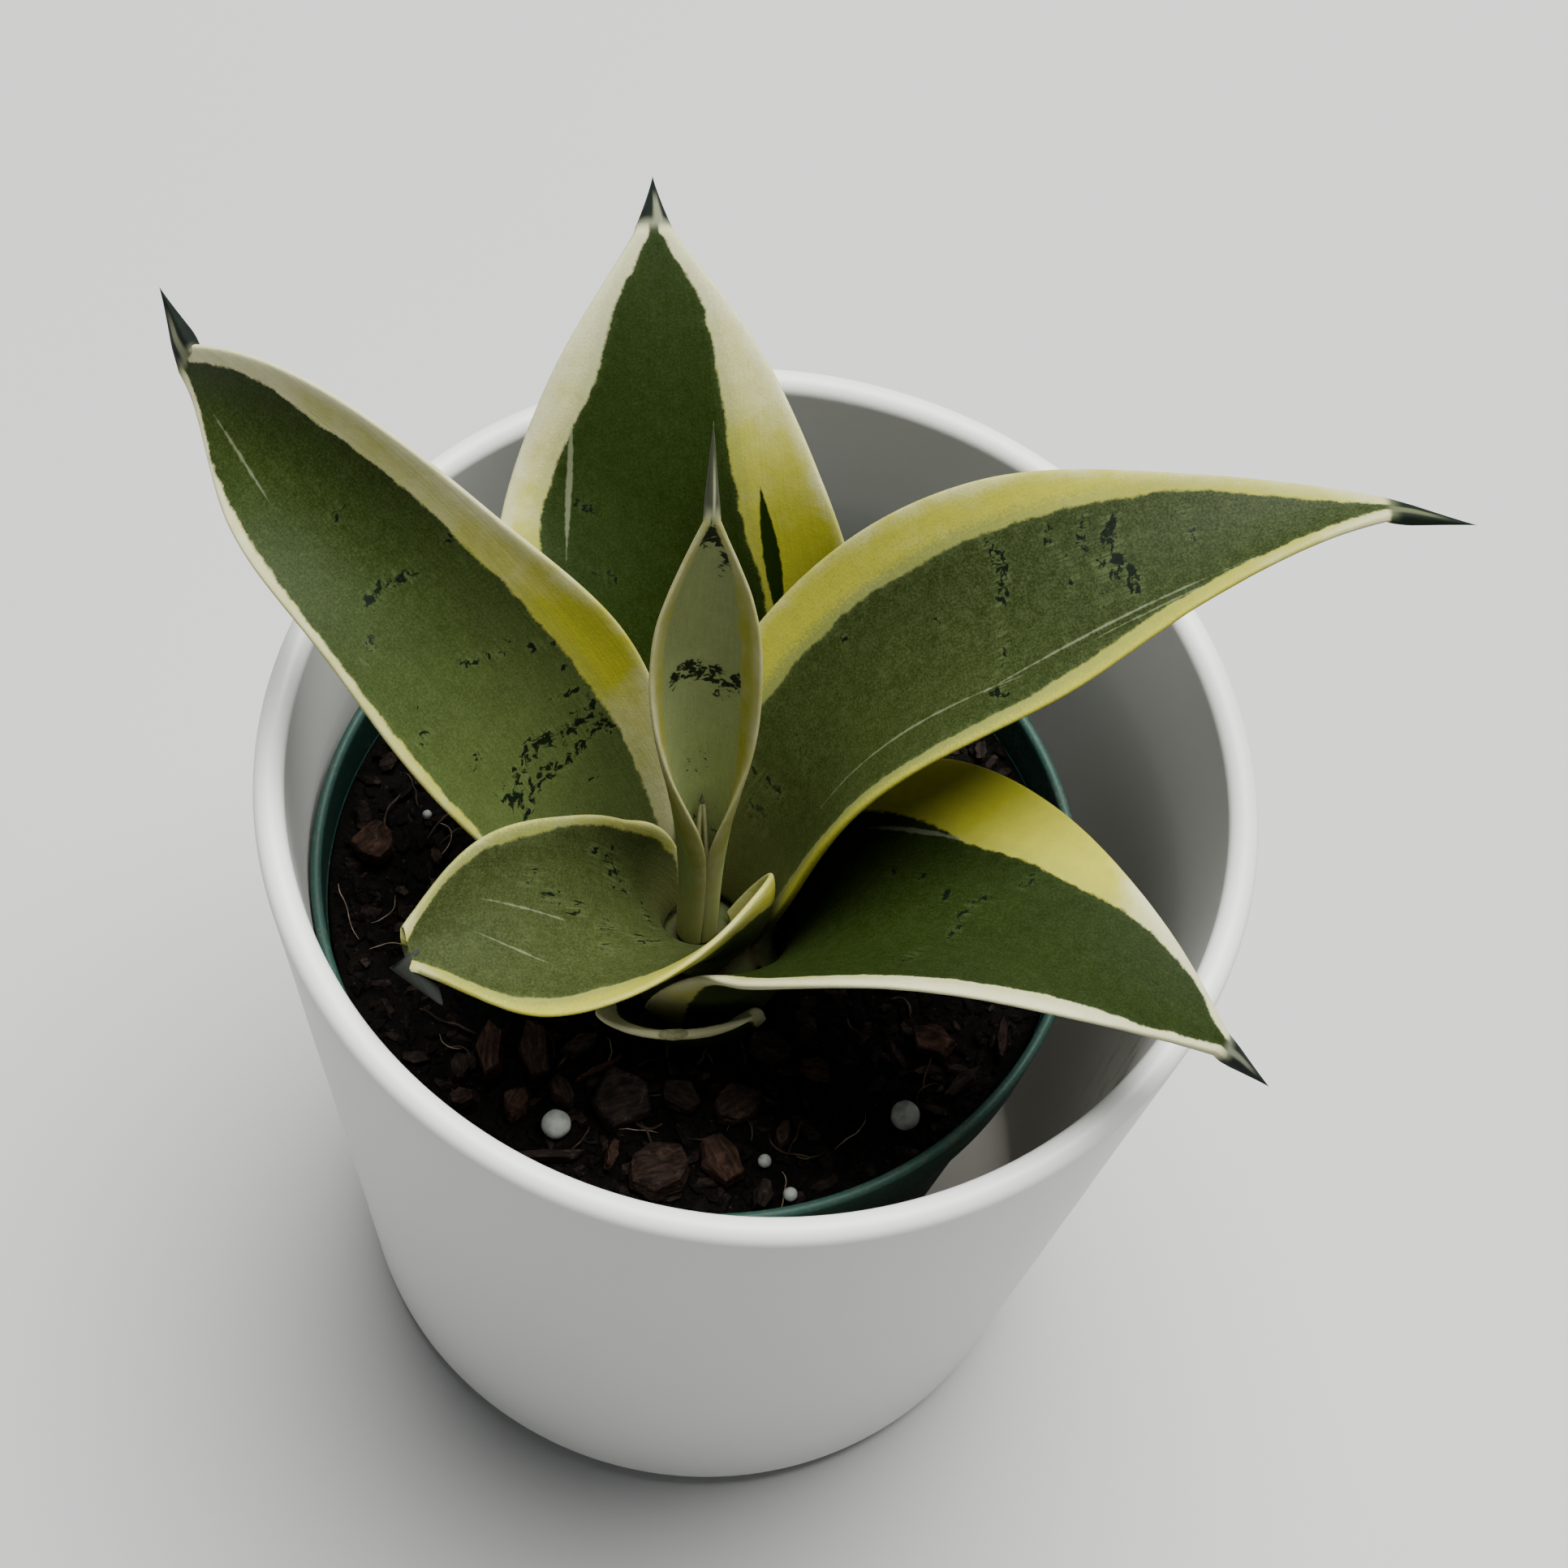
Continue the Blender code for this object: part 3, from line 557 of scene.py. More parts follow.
def leaf_finish(name, marks, length):
    """Variegated leaf skin, laid out on the blade's own flat shape."""
    skin = Finish(name, roughness=0.55, specular=0.07)
    x, run, side = skin.attribute("blade").parts()
    margin, rim, tip = skin.attribute("edges").parts()
    gold, dark, haze = skin.attribute("tints").parts()
    v = run / length
    flat = skin.vector(x, run, side * 2)
    mottle = skin.grain(flat, 0.16, 4.0, 0.6, 0.4)
    cloud = skin.grain(flat, 0.6, 4.0, 0.65)
    fine = skin.grain(flat, 3.2, 3.0, 0.7)
    threads = skin.grain(skin.vector(x * 2.2, run * 0.16, side), 1.0, 3.0, 0.6)

    # green field
    green = skin.mix(v.rising(0.05, 0.75), marks["foot"], marks["tip"])
    grey = (cloud * 0.35 + fine * 0.65).rising(0.3, 0.8) * (marks["grey"] * 0.7)
    green = skin.mix(grey, green, HAZE)
    green = skin.shade(green, 0.30 + mottle * 0.35 + fine * 0.75 + threads * 0.30)
    under = side.rising(-0.2, 0.2)
    green = skin.mix((1 - under) * (0.5 - 0.5 * marks["young"]), green, OUTER_GREEN)

    # dark broken marks across the field
    if marks["lengthwise"]:
        torn = skin.grain(skin.vector(x * 1.5, run * 0.5, side), 0.9, 5.0, 0.65, 0.6)
    else:
        torn = skin.grain(skin.vector(x * 0.9, run * 1.1, side), 0.8, 4.0, 0.62, 0.7)
    blotch = (torn + dark * 0.38 - 0.735).rising(0.0, 0.06)
    halo = dark.rising(0.1, 0.6) * threads.rising(0.42, 0.66) * (marks["grey"] * 0.6)
    green = skin.mix(halo, green, HAZE)
    green = skin.mix(blotch * 0.95, green, MARK)

    # pale margin with a feathered inner edge
    ragged = (mottle - 0.5) * 2.2 + (cloud - 0.5) * 1.3 + (fine - 0.5) * 0.5
    pale = (margin + ragged * 0.7).rising(-0.22, 0.3)
    soft = (margin + ragged).rising(-1.4, 2.8) * haze
    yellow = (gold * 1.25 + (mottle - 0.5) * 1.1 - (1 - rim.rising(0.2, 2.6)) * 0.35)
    cream = skin.mix(yellow.rising(0.05, 1.15), CREAM, GOLD)
    cream = skin.shade(cream, 0.72 + cloud * 0.3 + fine * 0.26)
    stipple = (fine + (1 - margin.rising(0.0, 3.2)) * 0.35).rising(0.42, 0.85)
    cream = skin.mix(stipple * haze * 0.75, cream, HAZE)
    green = skin.mix(soft * (1 - pale) * 0.6, green, HAZE)
    colour = skin.mix(pale, green, cream)
    for line in marks["pale_streaks"]:
        colour = skin.mix(streak(x, v, line, cloud) * under * 0.4, colour, STREAK)
    for line in marks["green_streaks"]:
        colour = skin.mix(streak(x, v, line, cloud) * under, colour, marks["foot"])

    # sheathing foot, pale and young
    young = (1 - v.rising(0.02, 0.26)) * (1 - under * 0.72)
    colour = skin.mix(young * (0.8 * marks["young"]), colour, YOUNG)

    # hard spike
    lean = x / (abs(x) + rim).most(0.05)
    dark_side = abs(lean + 0.3).rising(0.12, 0.5) * tip.rising(0.02, 0.2)
    horn = skin.mix(tip.rising(0.35, 0.75).most(dark_side), *marks["spike"])
    horn = skin.mix((1 - under) * 0.85, horn, marks["spike"][1])
    horn = skin.shade(horn, 0.6 + threads * 0.8)
    colour = skin.mix(tip.rising(0.0, 0.08), colour, horn)
    skin.feed("Base Color", colour)
    skin.feed("Roughness", 0.44 + cloud * 0.18 + pale * 0.04)
    skin.bump(threads * 0.55 + fine * 0.4 + cloud * 0.5, 0.00012, 0.7)
    return skin.material


# --- other finishes -------------------------------------------------------------
def glaze_finish():
    """Satin white glaze with faint stains, scuffs, painted shade on the inside and a bare
    underside.
    """
    glaze = Finish("satin_white_glaze", roughness=0.32, specular=0.35)
    where = glaze.place()
    x, y, z = where.parts()
    broad = glaze.grain(where, 0.02, 3.0)
    fine = glaze.grain(where, 0.9, 4.0, 0.6)
    colour = glaze.mix(broad, (0.69, 0.695, 0.665), (0.74, 0.74, 0.705))
    colour = glaze.shade(colour, 0.985 + fine * 0.03)
    # dark scuffs, mostly on the rim and low on the wall
    scuff = glaze.grain(glaze.vector(x * 0.5, y * 0.5, z * 1.6), 0.42, 6.0, 0.7, 1.2)
    top = POT_HEIGHT / MM
    worn = z.rising(top - 6.0, top - 2.0) * 0.035 + (1 - z.rising(2.0, 16.0)) * 0.03
    colour = glaze.mix((scuff + worn).rising(0.735, 0.76) * 0.45, colour, (0.26, 0.25, 0.23))
    # dust and painted shade on the inside, strongest low and fading out just under the rim,
    # heaviest on the right side, then dried water marks, beside the nursery pot
    reach = glaze.node("ShaderNodeVectorMath", {"operation": "LENGTH"},
                       {0: glaze.vector(x, y, 0.0)}, output=1)
    inner_wall = (POT_BASE_RADIUS - POT_WALL) / MM
    inside = 1 - (reach - z * POT_LEAN).rising(inner_wall + 0.6, inner_wall + 1.8)
    shaded_right_side = (x - y * 0.75).rising(-10.0, 50.0)
    dust = inside * (1 - z.rising(top - 45.0, top - 4.0)) * (0.25 + shaded_right_side * 0.65)
    # the dust mask here is partly real dust and partly painted shade on the inner wall, deepest on
    # the right
    colour = glaze.mix(dust, colour, (0.25, 0.24, 0.20))
    drip = glaze.grain(glaze.vector(x * 1.0, y * 1.0, z * 0.16), 0.5, 4.0, 0.65)
    corner = (x - y * 0.75).rising(52.0, 66.0)
    wet = drip.rising(0.5, 0.64) * inside * corner
    wet = wet * (1 - z.rising(96.0, 118.0)) * z.rising(8.0, 14.0)
    colour = glaze.mix(wet * 0.5, colour, (0.12, 0.10, 0.07))
    bare = 1 - z.rising(0.15, 0.5)
    colour = glaze.mix(bare, colour, (0.62, 0.58, 0.50))
    glaze.feed("Base Color", colour)
    glaze.feed("Roughness", 0.30 + broad * 0.08 + fine * 0.06 + bare * 0.4 + dust * 0.6)
    glaze.bump(fine * 0.3 + broad * 1.4, 0.0001, 0.5)
    return glaze.material


def plastic_finish():
    """Thin dark green moulded plastic, dusty with potting mix, with a painted highlight along the
    top of the lip.
    """
    plastic = Finish("green_nursery_plastic", roughness=0.42, specular=0.2)
    where = plastic.place()
    z = where.parts()[2]
    fine = plastic.grain(where, 1.6, 4.0, 0.6)
    broad = plastic.grain(where, 0.12, 3.0)
    colour = plastic.mix(broad, (0.009, 0.033, 0.026), (0.015, 0.048, 0.037))
    rim = NURSERY_RIM_Z / MM
    # painted highlight: the top of the lip is made a lighter green
    lip_highlight = z.rising(rim - 2.0, rim - 0.4)
    colour = plastic.mix(lip_highlight * 0.35, colour, (0.030, 0.078, 0.062))
    dust = (fine + broad * 0.4).rising(0.72, 0.95)
    colour = plastic.mix(dust * 0.5, colour, (0.10, 0.085, 0.06))
    plastic.feed("Base Color", colour)
    plastic.feed("Roughness", 0.38 + fine * 0.2 + dust * 0.3)
    plastic.bump(fine, 0.00008, 0.6)
    return plastic.material


def soil_finish(name, dark, light):
    """Damp peat and bark fines."""
    mix = Finish(name, roughness=0.9, specular=0.08)
    where = mix.place()
    clods = mix.grain(where, 0.5, 5.0, 0.65)
    grit = mix.grain(where, 2.4, 4.0, 0.7)
    specks = (1 - mix.cells(where, 0.75)).rising(0.8, 0.9)
    colour = mix.mix((clods * 0.6 + grit * 0.6).rising(0.45, 0.8), dark, light)
    colour = mix.mix(specks * grit.rising(0.5, 0.62) * 0.3, colour, (0.10, 0.075, 0.05))
    mix.feed("Base Color", colour)
    mix.feed("Roughness", 0.78 + grit * 0.2)
    mix.bump(clods * 0.6 + grit * 0.8, 0.0006, 0.9)
    return mix.material


def bark_finish(name, turn, dark, light):
    """Red-brown pine bark with long flaky grain."""
    bark = Finish(name, roughness=0.8, specular=0.1)
    turned_place = {"Vector": bark.place(), "Rotation": (0.0, 0.0, -math.radians(turn))}
    where = bark.node("ShaderNodeMapping", {}, turned_place)
    x, y, z = where.parts()
    fibres = bark.grain(bark.vector(x * 0.35, y * 2.0, z * 2.0), 1.0, 5.0, 0.65)
    flakes = bark.grain(where, 0.55, 4.0, 0.6, 0.6)
    grit = bark.grain(where, 3.0, 3.0, 0.7)
    colour = bark.mix((fibres * 0.7 + flakes * 0.5).rising(0.42, 0.82), dark, light)
    colour = bark.mix(flakes.rising(0.58, 0.66) * 0.4, colour, (0.045, 0.033, 0.024))
    colour = bark.shade(colour, 0.4 + fibres * 0.5 + grit * 0.7)
    bark.feed("Base Color", colour)
    bark.feed("Roughness", 0.62 + grit * 0.3)
    bark.bump(fibres + grit * 0.3 + flakes * 0.6, 0.0004, 0.9)
    return bark.material


def bead_finish():
    """Chalky white grains, a little stained by the soil."""
    chalk = Finish("chalky_grain", roughness=0.7, specular=0.1)
    where = chalk.place()
    patch = chalk.grain(where, 0.5, 3.0, 0.6)
    grit = chalk.grain(where, 4.0, 3.0, 0.6)
    colour = chalk.mix(patch.rising(0.35, 0.7), (0.27, 0.28, 0.26), (0.15, 0.16, 0.145))
    colour = chalk.shade(colour, 0.8 + grit * 0.35)
    chalk.feed("Base Color", colour)
    chalk.feed("Roughness", 0.55 + grit * 0.3)
    chalk.bump(grit + patch, 0.0001, 0.6)
    return chalk.material


def crown_finish():
    """Pale green rootstock with brown scars."""
    flesh = Finish("crown_flesh", roughness=0.6, specular=0.05)
    where = flesh.place()
    rings = flesh.grain(flesh.vector(*where.parts()[:2], 0.0), 0.35, 4.0)
    colour = flesh.mix(rings.rising(0.4, 0.65), (0.050, 0.062, 0.020), (0.040, 0.030, 0.015))
    flesh.feed("Base Color", colour)
    flesh.feed("Roughness", 0.5 + rings * 0.25)
    flesh.bump(rings, 0.0003, 0.6)
    return flesh.material


def fibre_finish(name, dark, light):
    """Dry root hair or fibre."""
    hair = Finish(name, roughness=0.7, specular=0.1)
    where = hair.place()
    patch = hair.grain(where, 0.4, 3.0)
    colour = hair.mix(patch.rising(0.4, 0.62), dark, light)
    hair.feed("Base Color", colour)
    hair.feed("Roughness", 0.55 + patch * 0.3)
    return hair.material


def table_finish():
    """Plain pale floor."""
    table = Finish("pale_floor", roughness=0.6)
    where = table.place()
    broad = table.grain(where, 0.004, 2.0)
    colour = table.mix(broad, (0.40, 0.405, 0.40), (0.44, 0.445, 0.44))
    table.feed("Base Color", colour)
    return table.material


# --- making pieces ---------------------------------------------------------------
def piece(name, bm, finish, nodes, smooth=True):
    """Finished object of the bmesh, standing for the named CAD nodes."""
    mesh = bpy.data.meshes.new(name)
    bm.to_mesh(mesh)
    bm.free()
    mesh.materials.append(finish)
    if smooth:
        mesh.shade_smooth()
    obj = bpy.data.objects.new(name, mesh)
    bpy.context.scene.collection.objects.link(obj)
    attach(obj, "root")
    if nodes:
        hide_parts(*nodes)
    return obj


def arc(cx, cz, radius, start, end, steps):
    """Points on an arc, angles in degrees from +X towards +Z."""
    points = []
    for i in range(steps + 1):
        a = math.radians(start + (end - start) * i / steps)
        points.append((cx + radius * math.cos(a), cz + radius * math.sin(a)))
    return points


def spun(profile, steps):
    """Closed bmesh turned round Z from a profile whose ends lie on the axis."""
    bm = bmesh.new()
    verts = [bm.verts.new((r, 0.0, z)) for r, z in profile]
    edges = [bm.edges.new(pair) for pair in zip(verts, verts[1:])]
    bmesh.ops.spin(bm, geom=verts + edges, cent=(0, 0, 0), axis=(0, 0, 1),
                   angle=math.tau, steps=steps, use_merge=True)
    bmesh.ops.remove_doubles(bm, verts=bm.verts, dist=0.01 * MM)
    bmesh.ops.recalc_face_normals(bm, faces=bm.faces)
    return bm


def pot_outer_radius(z):
    return POT_BASE_RADIUS + POT_LEAN * z


def pot_inner_radius(z):
    return pot_outer_radius(z) - POT_WALL


def nursery_centre():
    """Axis of the nursery pot, pushed over until its band meets the wall."""
    at_rim = pot_inner_radius(NURSERY_RIM_Z) - NURSERY_RIM_RADIUS
    at_band = pot_inner_radius(COLLAR_Z) - COLLAR_RADIUS
    reach = min(at_rim, at_band) - GAP
    heading = math.radians(LEAN_HEADING)
    return Vector((reach * math.cos(heading), reach * math.sin(heading), 0.0))


NURSERY_CENTRE = nursery_centre()
CROWN_CENTRE = NURSERY_CENTRE + Vector((1.3 * MM, -8.8 * MM, 0.0))


def steps_between(start, end, count):
    """Even points on a straight wall, without its ends."""
    return [(start[0] + (end[0] - start[0]) * k / count, start[1] + (end[1] - start[1]) * k / count)
            for k in range(1, count)]


def make_cachepot():
    round_r = POT_WALL / 2
    rim_z = POT_HEIGHT - round_r
    heel_x = pot_outer_radius(POT_HEEL) - POT_HEEL
    inner_z = POT_FLOOR + INNER_HEEL
    inner_x = pot_inner_radius(inner_z) - INNER_HEEL
    floor = arc(inner_x, inner_z, INNER_HEEL, -90, 0, 10)
    rim = arc(POT_RIM_RADIUS - round_r, rim_z, round_r, 180, 0, 20)
    heel = arc(heel_x, POT_HEEL, POT_HEEL, 0, -90, 14)
    profile = [(0.0, POT_FLOOR), (inner_x * 0.5, POT_FLOOR)] + floor
    profile += steps_between(floor[-1], rim[0], 12) + rim
    profile += steps_between(rim[-1], heel[0], 12) + heel
    profile += [(heel[-1][0] * 0.5, 0.0), (0.0, 0.0)]
    bm = spun(profile, POT_STEPS)
    for vert in bm.verts:
        if vert.co.z > POT_HEEL:
            sway = noise.noise(vert.co * 22.0) * 0.18 * MM * min(1.0, vert.co.z / 0.04 - 0.17)
            out = Vector((vert.co.x, vert.co.y, 0.0)).normalized()
            vert.co -= out * abs(sway)
    piece("cachepot_glazed", bm, glaze_finish(), ["cachepot"])


def nursery_inner_profile():
    wall = NURSERY_WALL
    return [
        (NURSERY_BASE_RADIUS - wall, NURSERY_Z + NURSERY_FLOOR),
        (SHOULDER_RADIUS - wall, COLLAR_Z + 0.5 * MM),
        (COLLAR_RADIUS - wall, COLLAR_Z + 2.0 * MM),
        (NURSERY_RIM_RADIUS - LIP_WIDTH, NURSERY_RIM_Z - LIP_HEIGHT),
    ]


def make_nursery_pot():
    lip_r = LIP_WIDTH / 2
    profile = [(0.0, NURSERY_Z + NURSERY_FLOOR)] + nursery_inner_profile()
    profile += arc(NURSERY_RIM_RADIUS - lip_r, NURSERY_RIM_Z - lip_r, lip_r, 180, 0, 10)
    profile += [
        (COLLAR_RADIUS, COLLAR_Z),
        (SHOULDER_RADIUS, COLLAR_Z - 1.0 * MM),
        (NURSERY_BASE_RADIUS, NURSERY_Z + 1.0 * MM),
        (NURSERY_BASE_RADIUS - 1.0 * MM, NURSERY_Z),
        (0.0, NURSERY_Z),
    ]
    bm = spun(profile, NURSERY_STEPS)
    bmesh.ops.translate(bm, verts=bm.verts, vec=NURSERY_CENTRE)
    pot = piece("nursery_pot_moulded", bm, plastic_finish(), ["nursery_pot"])
    ring = (NURSERY_BASE_RADIUS - NURSERY_WALL) * 0.72
    holes = bmesh.new()
    for i in range(DRAIN_COUNT):
        a = math.tau * i / DRAIN_COUNT
        spot = NURSERY_CENTRE + Vector((ring * math.cos(a), ring * math.sin(a), NURSERY_Z))
        bmesh.ops.create_cone(holes, segments=32, cap_ends=True, radius1=DRAIN_RADIUS,
                              radius2=DRAIN_RADIUS, depth=6.0 * MM,
                              matrix=Matrix.Translation(spot))
    mesh = bpy.data.meshes.new("holes")
    holes.to_mesh(mesh)
    holes.free()
    punch = bpy.data.objects.new("punch", mesh)
    bpy.context.scene.collection.objects.link(punch)
    cut = pot.modifiers.new("drain", "BOOLEAN")
    cut.operation = "DIFFERENCE"
    cut.solver = "EXACT"
    cut.object = punch
    settled = pot.evaluated_get(bpy.context.evaluated_depsgraph_get())
    drained = bpy.data.meshes.new_from_object(settled)
    pot.modifiers.clear()
    pot.data = drained
    pot.data.set_sharp_from_angle(angle=math.radians(35))
    bpy.data.objects.remove(punch, do_unlink=True)


def soil_lift(x, y):
    """Height of the soil's lumps at a point, in metres."""
    spot = Vector((x, y, 0.0)) / MM
    lumps = noise.noise(spot * 0.16) * 0.9 + noise.noise(spot * 0.45 + Vector((7, 0, 0))) * 0.7
    crumb = noise.turbulence(spot * 0.9, 3, False) * 0.5
    return (lumps + crumb - 0.55) * MM


def make_soil():
    inner = [(r - GAP, z) for r, z in nursery_inner_profile()[:3]]
    inner[0] = (inner[0][0], inner[0][1] + GAP)
    edge = SOIL_RADIUS - 0.6 * MM
    profile = [(edge * k / SOIL_RINGS, SOIL_Z) for k in range(SOIL_RINGS + 1)]
    profile += [(SOIL_RADIUS - 0.2 * MM, SOIL_Z - 1.4 * MM)]
    profile += list(reversed(inner))
    profile += [(0.0, inner[0][1])]
    bm = spun(profile, SOIL_STEPS)
    for vert in bm.verts:
        if vert.co.z > SOIL_Z - 0.1 * MM:
            vert.co.z += soil_lift(vert.co.x, vert.co.y)
    bmesh.ops.translate(bm, verts=bm.verts, vec=NURSERY_CENTRE)
    mix = soil_finish("damp_potting_mix", (0.0006, 0.0005, 0.0004), (0.0055, 0.0042, 0.0034))
    piece("soil_bed", bm, mix, ["potting_soil"])


def roughen(bm, verts, size, amount, seed):
    """Push points about by smooth noise."""
    shift = Vector((seed * 3.7, seed * 1.9, seed * 5.3))
    for vert in verts:
        push = noise.noise_vector(vert.co / size + shift)
        vert.co += push * amount


def in_batches(count, make_one):
    """One bmesh of many small shapes, made a batch at a time."""
    whole = bmesh.new()
    for start in range(0, count, BATCH):
        part = bmesh.new()
        for k in range(start, min(start + BATCH, count)):
            make_one(part, k)
        mesh = bpy.data.meshes.new("batch")
        part.to_mesh(mesh)
        part.free()
        whole.from_mesh(mesh)
        bpy.data.meshes.remove(mesh)
    return whole


def make_crumbs():
    """Loose crumbs of peat and bark fines on the soil."""
    rng = random.Random(11)

    def crumb(bm, k):
        r = SOIL_RADIUS * 0.975 * math.sqrt(rng.random())
        a = rng.uniform(0.0, math.tau)
        x, y = r * math.cos(a), r * math.sin(a)
        size = rng.choice((0.45, 0.6, 0.8, 1.1)) * MM * rng.uniform(0.7, 1.3)
        spot = NURSERY_CENTRE + Vector((x, y, SOIL_Z + soil_lift(x, y) + size * 0.2))
        shape = Matrix.Diagonal((rng.uniform(0.8, 1.9), rng.uniform(0.5, 1.0), 0.6, 1.0))
        turn = Matrix.Rotation(rng.uniform(0, math.tau), 4, "Z")
        tilt = Matrix.Rotation(rng.uniform(-0.6, 0.6), 4, "X")
        made = bmesh.ops.create_icosphere(bm, subdivisions=1, radius=size)["verts"]
        roughen(bm, made, size * 1.3, size * 0.55, k)
        bmesh.ops.transform(bm, matrix=Matrix.Translation(spot) @ turn @ tilt @ shape, verts=made)

    bm = in_batches(CRUMBS, crumb)
    mix = soil_finish("peat_crumbs", (0.0007, 0.0006, 0.0005), (0.0085, 0.0060, 0.0046))
    piece("soil_crumbs", bm, mix, [], smooth=False)


def make_chips():
    """Broken angular flakes of bark lying on the soil."""
    tones = [((0.004, 0.0024, 0.0018), (0.030, 0.016, 0.011)),
             ((0.003, 0.0022, 0.0017), (0.022, 0.014, 0.010)),
             ((0.005, 0.0028, 0.0020), (0.044, 0.021, 0.013))]
    for number, (x, y, length, width, thick, turn, tilt) in enumerate(BARK_CHIPS, 1):
        rng = random.Random(number * 7)
        bm = bmesh.new()
        bmesh.ops.create_circle(bm, cap_ends=True, segments=rng.choice((5, 6, 7)), radius=0.59)
        for vert in bm.verts:
            vert.co.x *= rng.uniform(0.74, 1.04) * length
            vert.co.y *= rng.uniform(0.72, 1.04) * width
        rest = bm.faces[:]
        for share in (0.55, 0.45):
            grown = bmesh.ops.extrude_face_region(bm, geom=rest)["geom"]
            rest = [g for g in grown if isinstance(g, bmesh.types.BMFace)]
            top = [g for g in grown if isinstance(g, bmesh.types.BMVert)]
            shift = [rng.uniform(-0.05, 0.05) * width for _ in range(2)] + [thick * share]
            bmesh.ops.translate(bm, verts=top, vec=shift)
            for vert in top:
                vert.co.z += rng.uniform(-0.16, 0.16) * thick
                vert.co.x *= rng.uniform(0.9, 1.0)
                vert.co.y *= rng.uniform(0.9, 1.0)
        bmesh.ops.recalc_face_normals(bm, faces=bm.faces)
        bmesh.ops.bevel(bm, geom=bm.edges[:], offset=0.03 * width, segments=1, profile=0.5,
                        affect="EDGES", material=-1)
        bmesh.ops.triangulate(bm, faces=bm.faces)
        bmesh.ops.subdivide_edges(bm, edges=bm.edges, cuts=3, use_grid_fill=True)
        bmesh.ops.recalc_face_normals(bm, faces=bm.faces)
        roughen(bm, bm.verts, 1.6, 0.20, number)
        roughen(bm, bm.verts, 0.45, 0.13, number + 50)
        spin = Matrix.Rotation(math.radians(turn), 4, "Z")
        spin = spin @ Matrix.Rotation(math.radians(tilt), 4, "X")
        bmesh.ops.transform(bm, matrix=spin, verts=bm.verts)
        low = min(vert.co.z for vert in bm.verts)
        spot = NURSERY_CENTRE / MM + Vector((x, y, SOIL_Z / MM + 0.1 - low))
        bmesh.ops.translate(bm, verts=bm.verts, vec=spot)
        bmesh.ops.scale(bm, verts=bm.verts, vec=(MM, MM, MM))
        dark, light = tones[number % 3]
        finish = bark_finish(f"bark_{number:02d}", turn, dark, light)
        made = piece(f"bark_flake_{number:02d}", bm, finish, [f"bark_chip_{number:02d}"])
        made.data.set_sharp_from_angle(angle=math.radians(30))


def make_fines():
    """Small flat splinters of bark between the flakes."""
    rng = random.Random(23)

    def splinter(bm, _):
        r = SOIL_RADIUS * 0.95 * math.sqrt(rng.random())
        a = rng.uniform(0.0, math.tau)
        x, y = r * math.cos(a), r * math.sin(a)
        size = rng.uniform(0.6, 1.7) * MM
        made = bmesh.ops.create_cone(bm, segments=rng.choice((5, 6, 7)), cap_ends=True,
                                     radius1=size, radius2=size * rng.uniform(0.7, 0.95),
                                     depth=size * rng.uniform(0.35, 0.6))["verts"]
        for vert in made:
            vert.co.x *= rng.uniform(0.7, 1.25)
            vert.co.y *= rng.uniform(0.7, 1.25)
            vert.co.z += rng.uniform(-0.12, 0.12) * size
        shape = Matrix.Diagonal((rng.uniform(0.9, 1.7), rng.uniform(0.45, 0.9), 1.0, 1.0))
        tilt = Matrix.Rotation(rng.uniform(-0.5, 0.5), 4, "X")
        tilt = tilt @ Matrix.Rotation(rng.uniform(-0.5, 0.5), 4, "Y")
        turn = Matrix.Rotation(rng.uniform(0, math.tau), 4, "Z")
        spot = NURSERY_CENTRE + Vector((x, y, SOIL_Z + soil_lift(x, y) + size * 0.25))
        move = Matrix.Translation(spot) @ turn @ tilt @ shape
        bmesh.ops.transform(bm, matrix=move, verts=made)

    bm = in_batches(SPLINTERS, splinter)
    finish = bark_finish("bark_fines", 30.0, (0.003, 0.0021, 0.0016), (0.020, 0.012, 0.009))
    piece("bark_splinters", bm, finish, [], smooth=False)


def make_beads():
    chalk = bead_finish()
    for number, (x, y, radius) in enumerate(BEADS, 1):
        bm = bmesh.new()
        bmesh.ops.create_uvsphere(bm, u_segments=32, v_segments=20, radius=radius * MM)
        roughen(bm, bm.verts, radius * 0.9 * MM, radius * 0.07 * MM, number)
        lift = SOIL_Z + GAP + radius * MM
        spot = NURSERY_CENTRE + Vector((x * MM, y * MM, lift))
        bmesh.ops.translate(bm, verts=bm.verts, vec=spot)
        piece(f"white_grain_{number:02d}", bm, chalk, [f"bead_{number:02d}"])


def make_hairs(name, strands, finish):
    """Thin tapering strands lying over the soil."""
    curve = bpy.data.curves.new(name, "CURVE")
    curve.dimensions = "3D"
    curve.bevel_depth = 1.0 * MM
    curve.bevel_resolution = 2
    curve.resolution_u = 6
    curve.use_fill_caps = True
    for points, radius in strands:
        line = curve.splines.new("BEZIER")
        line.bezier_points.add(len(points) - 1)
        for k, (knot, spot) in enumerate(zip(line.bezier_points, points)):
            knot.co = spot
            knot.handle_left_type = "AUTO"
            knot.handle_right_type = "AUTO"
            end = min(k, len(points) - 1 - k)
            knot.radius = radius * (0.45 if end == 0 else 1.0)
    shape = bpy.data.objects.new(name, curve)
    bpy.context.scene.collection.objects.link(shape)
    mesh = bpy.data.meshes.new_from_object(shape.evaluated_get(
        bpy.context.evaluated_depsgraph_get()))
    bpy.data.objects.remove(shape, do_unlink=True)
    bm = bmesh.new()
    bm.from_mesh(mesh)
    bpy.data.meshes.remove(mesh)
    bmesh.ops.remove_doubles(bm, verts=bm.verts, dist=0.001 * MM)
    bmesh.ops.recalc_face_normals(bm, faces=bm.faces)
    piece(name, bm, finish, [])


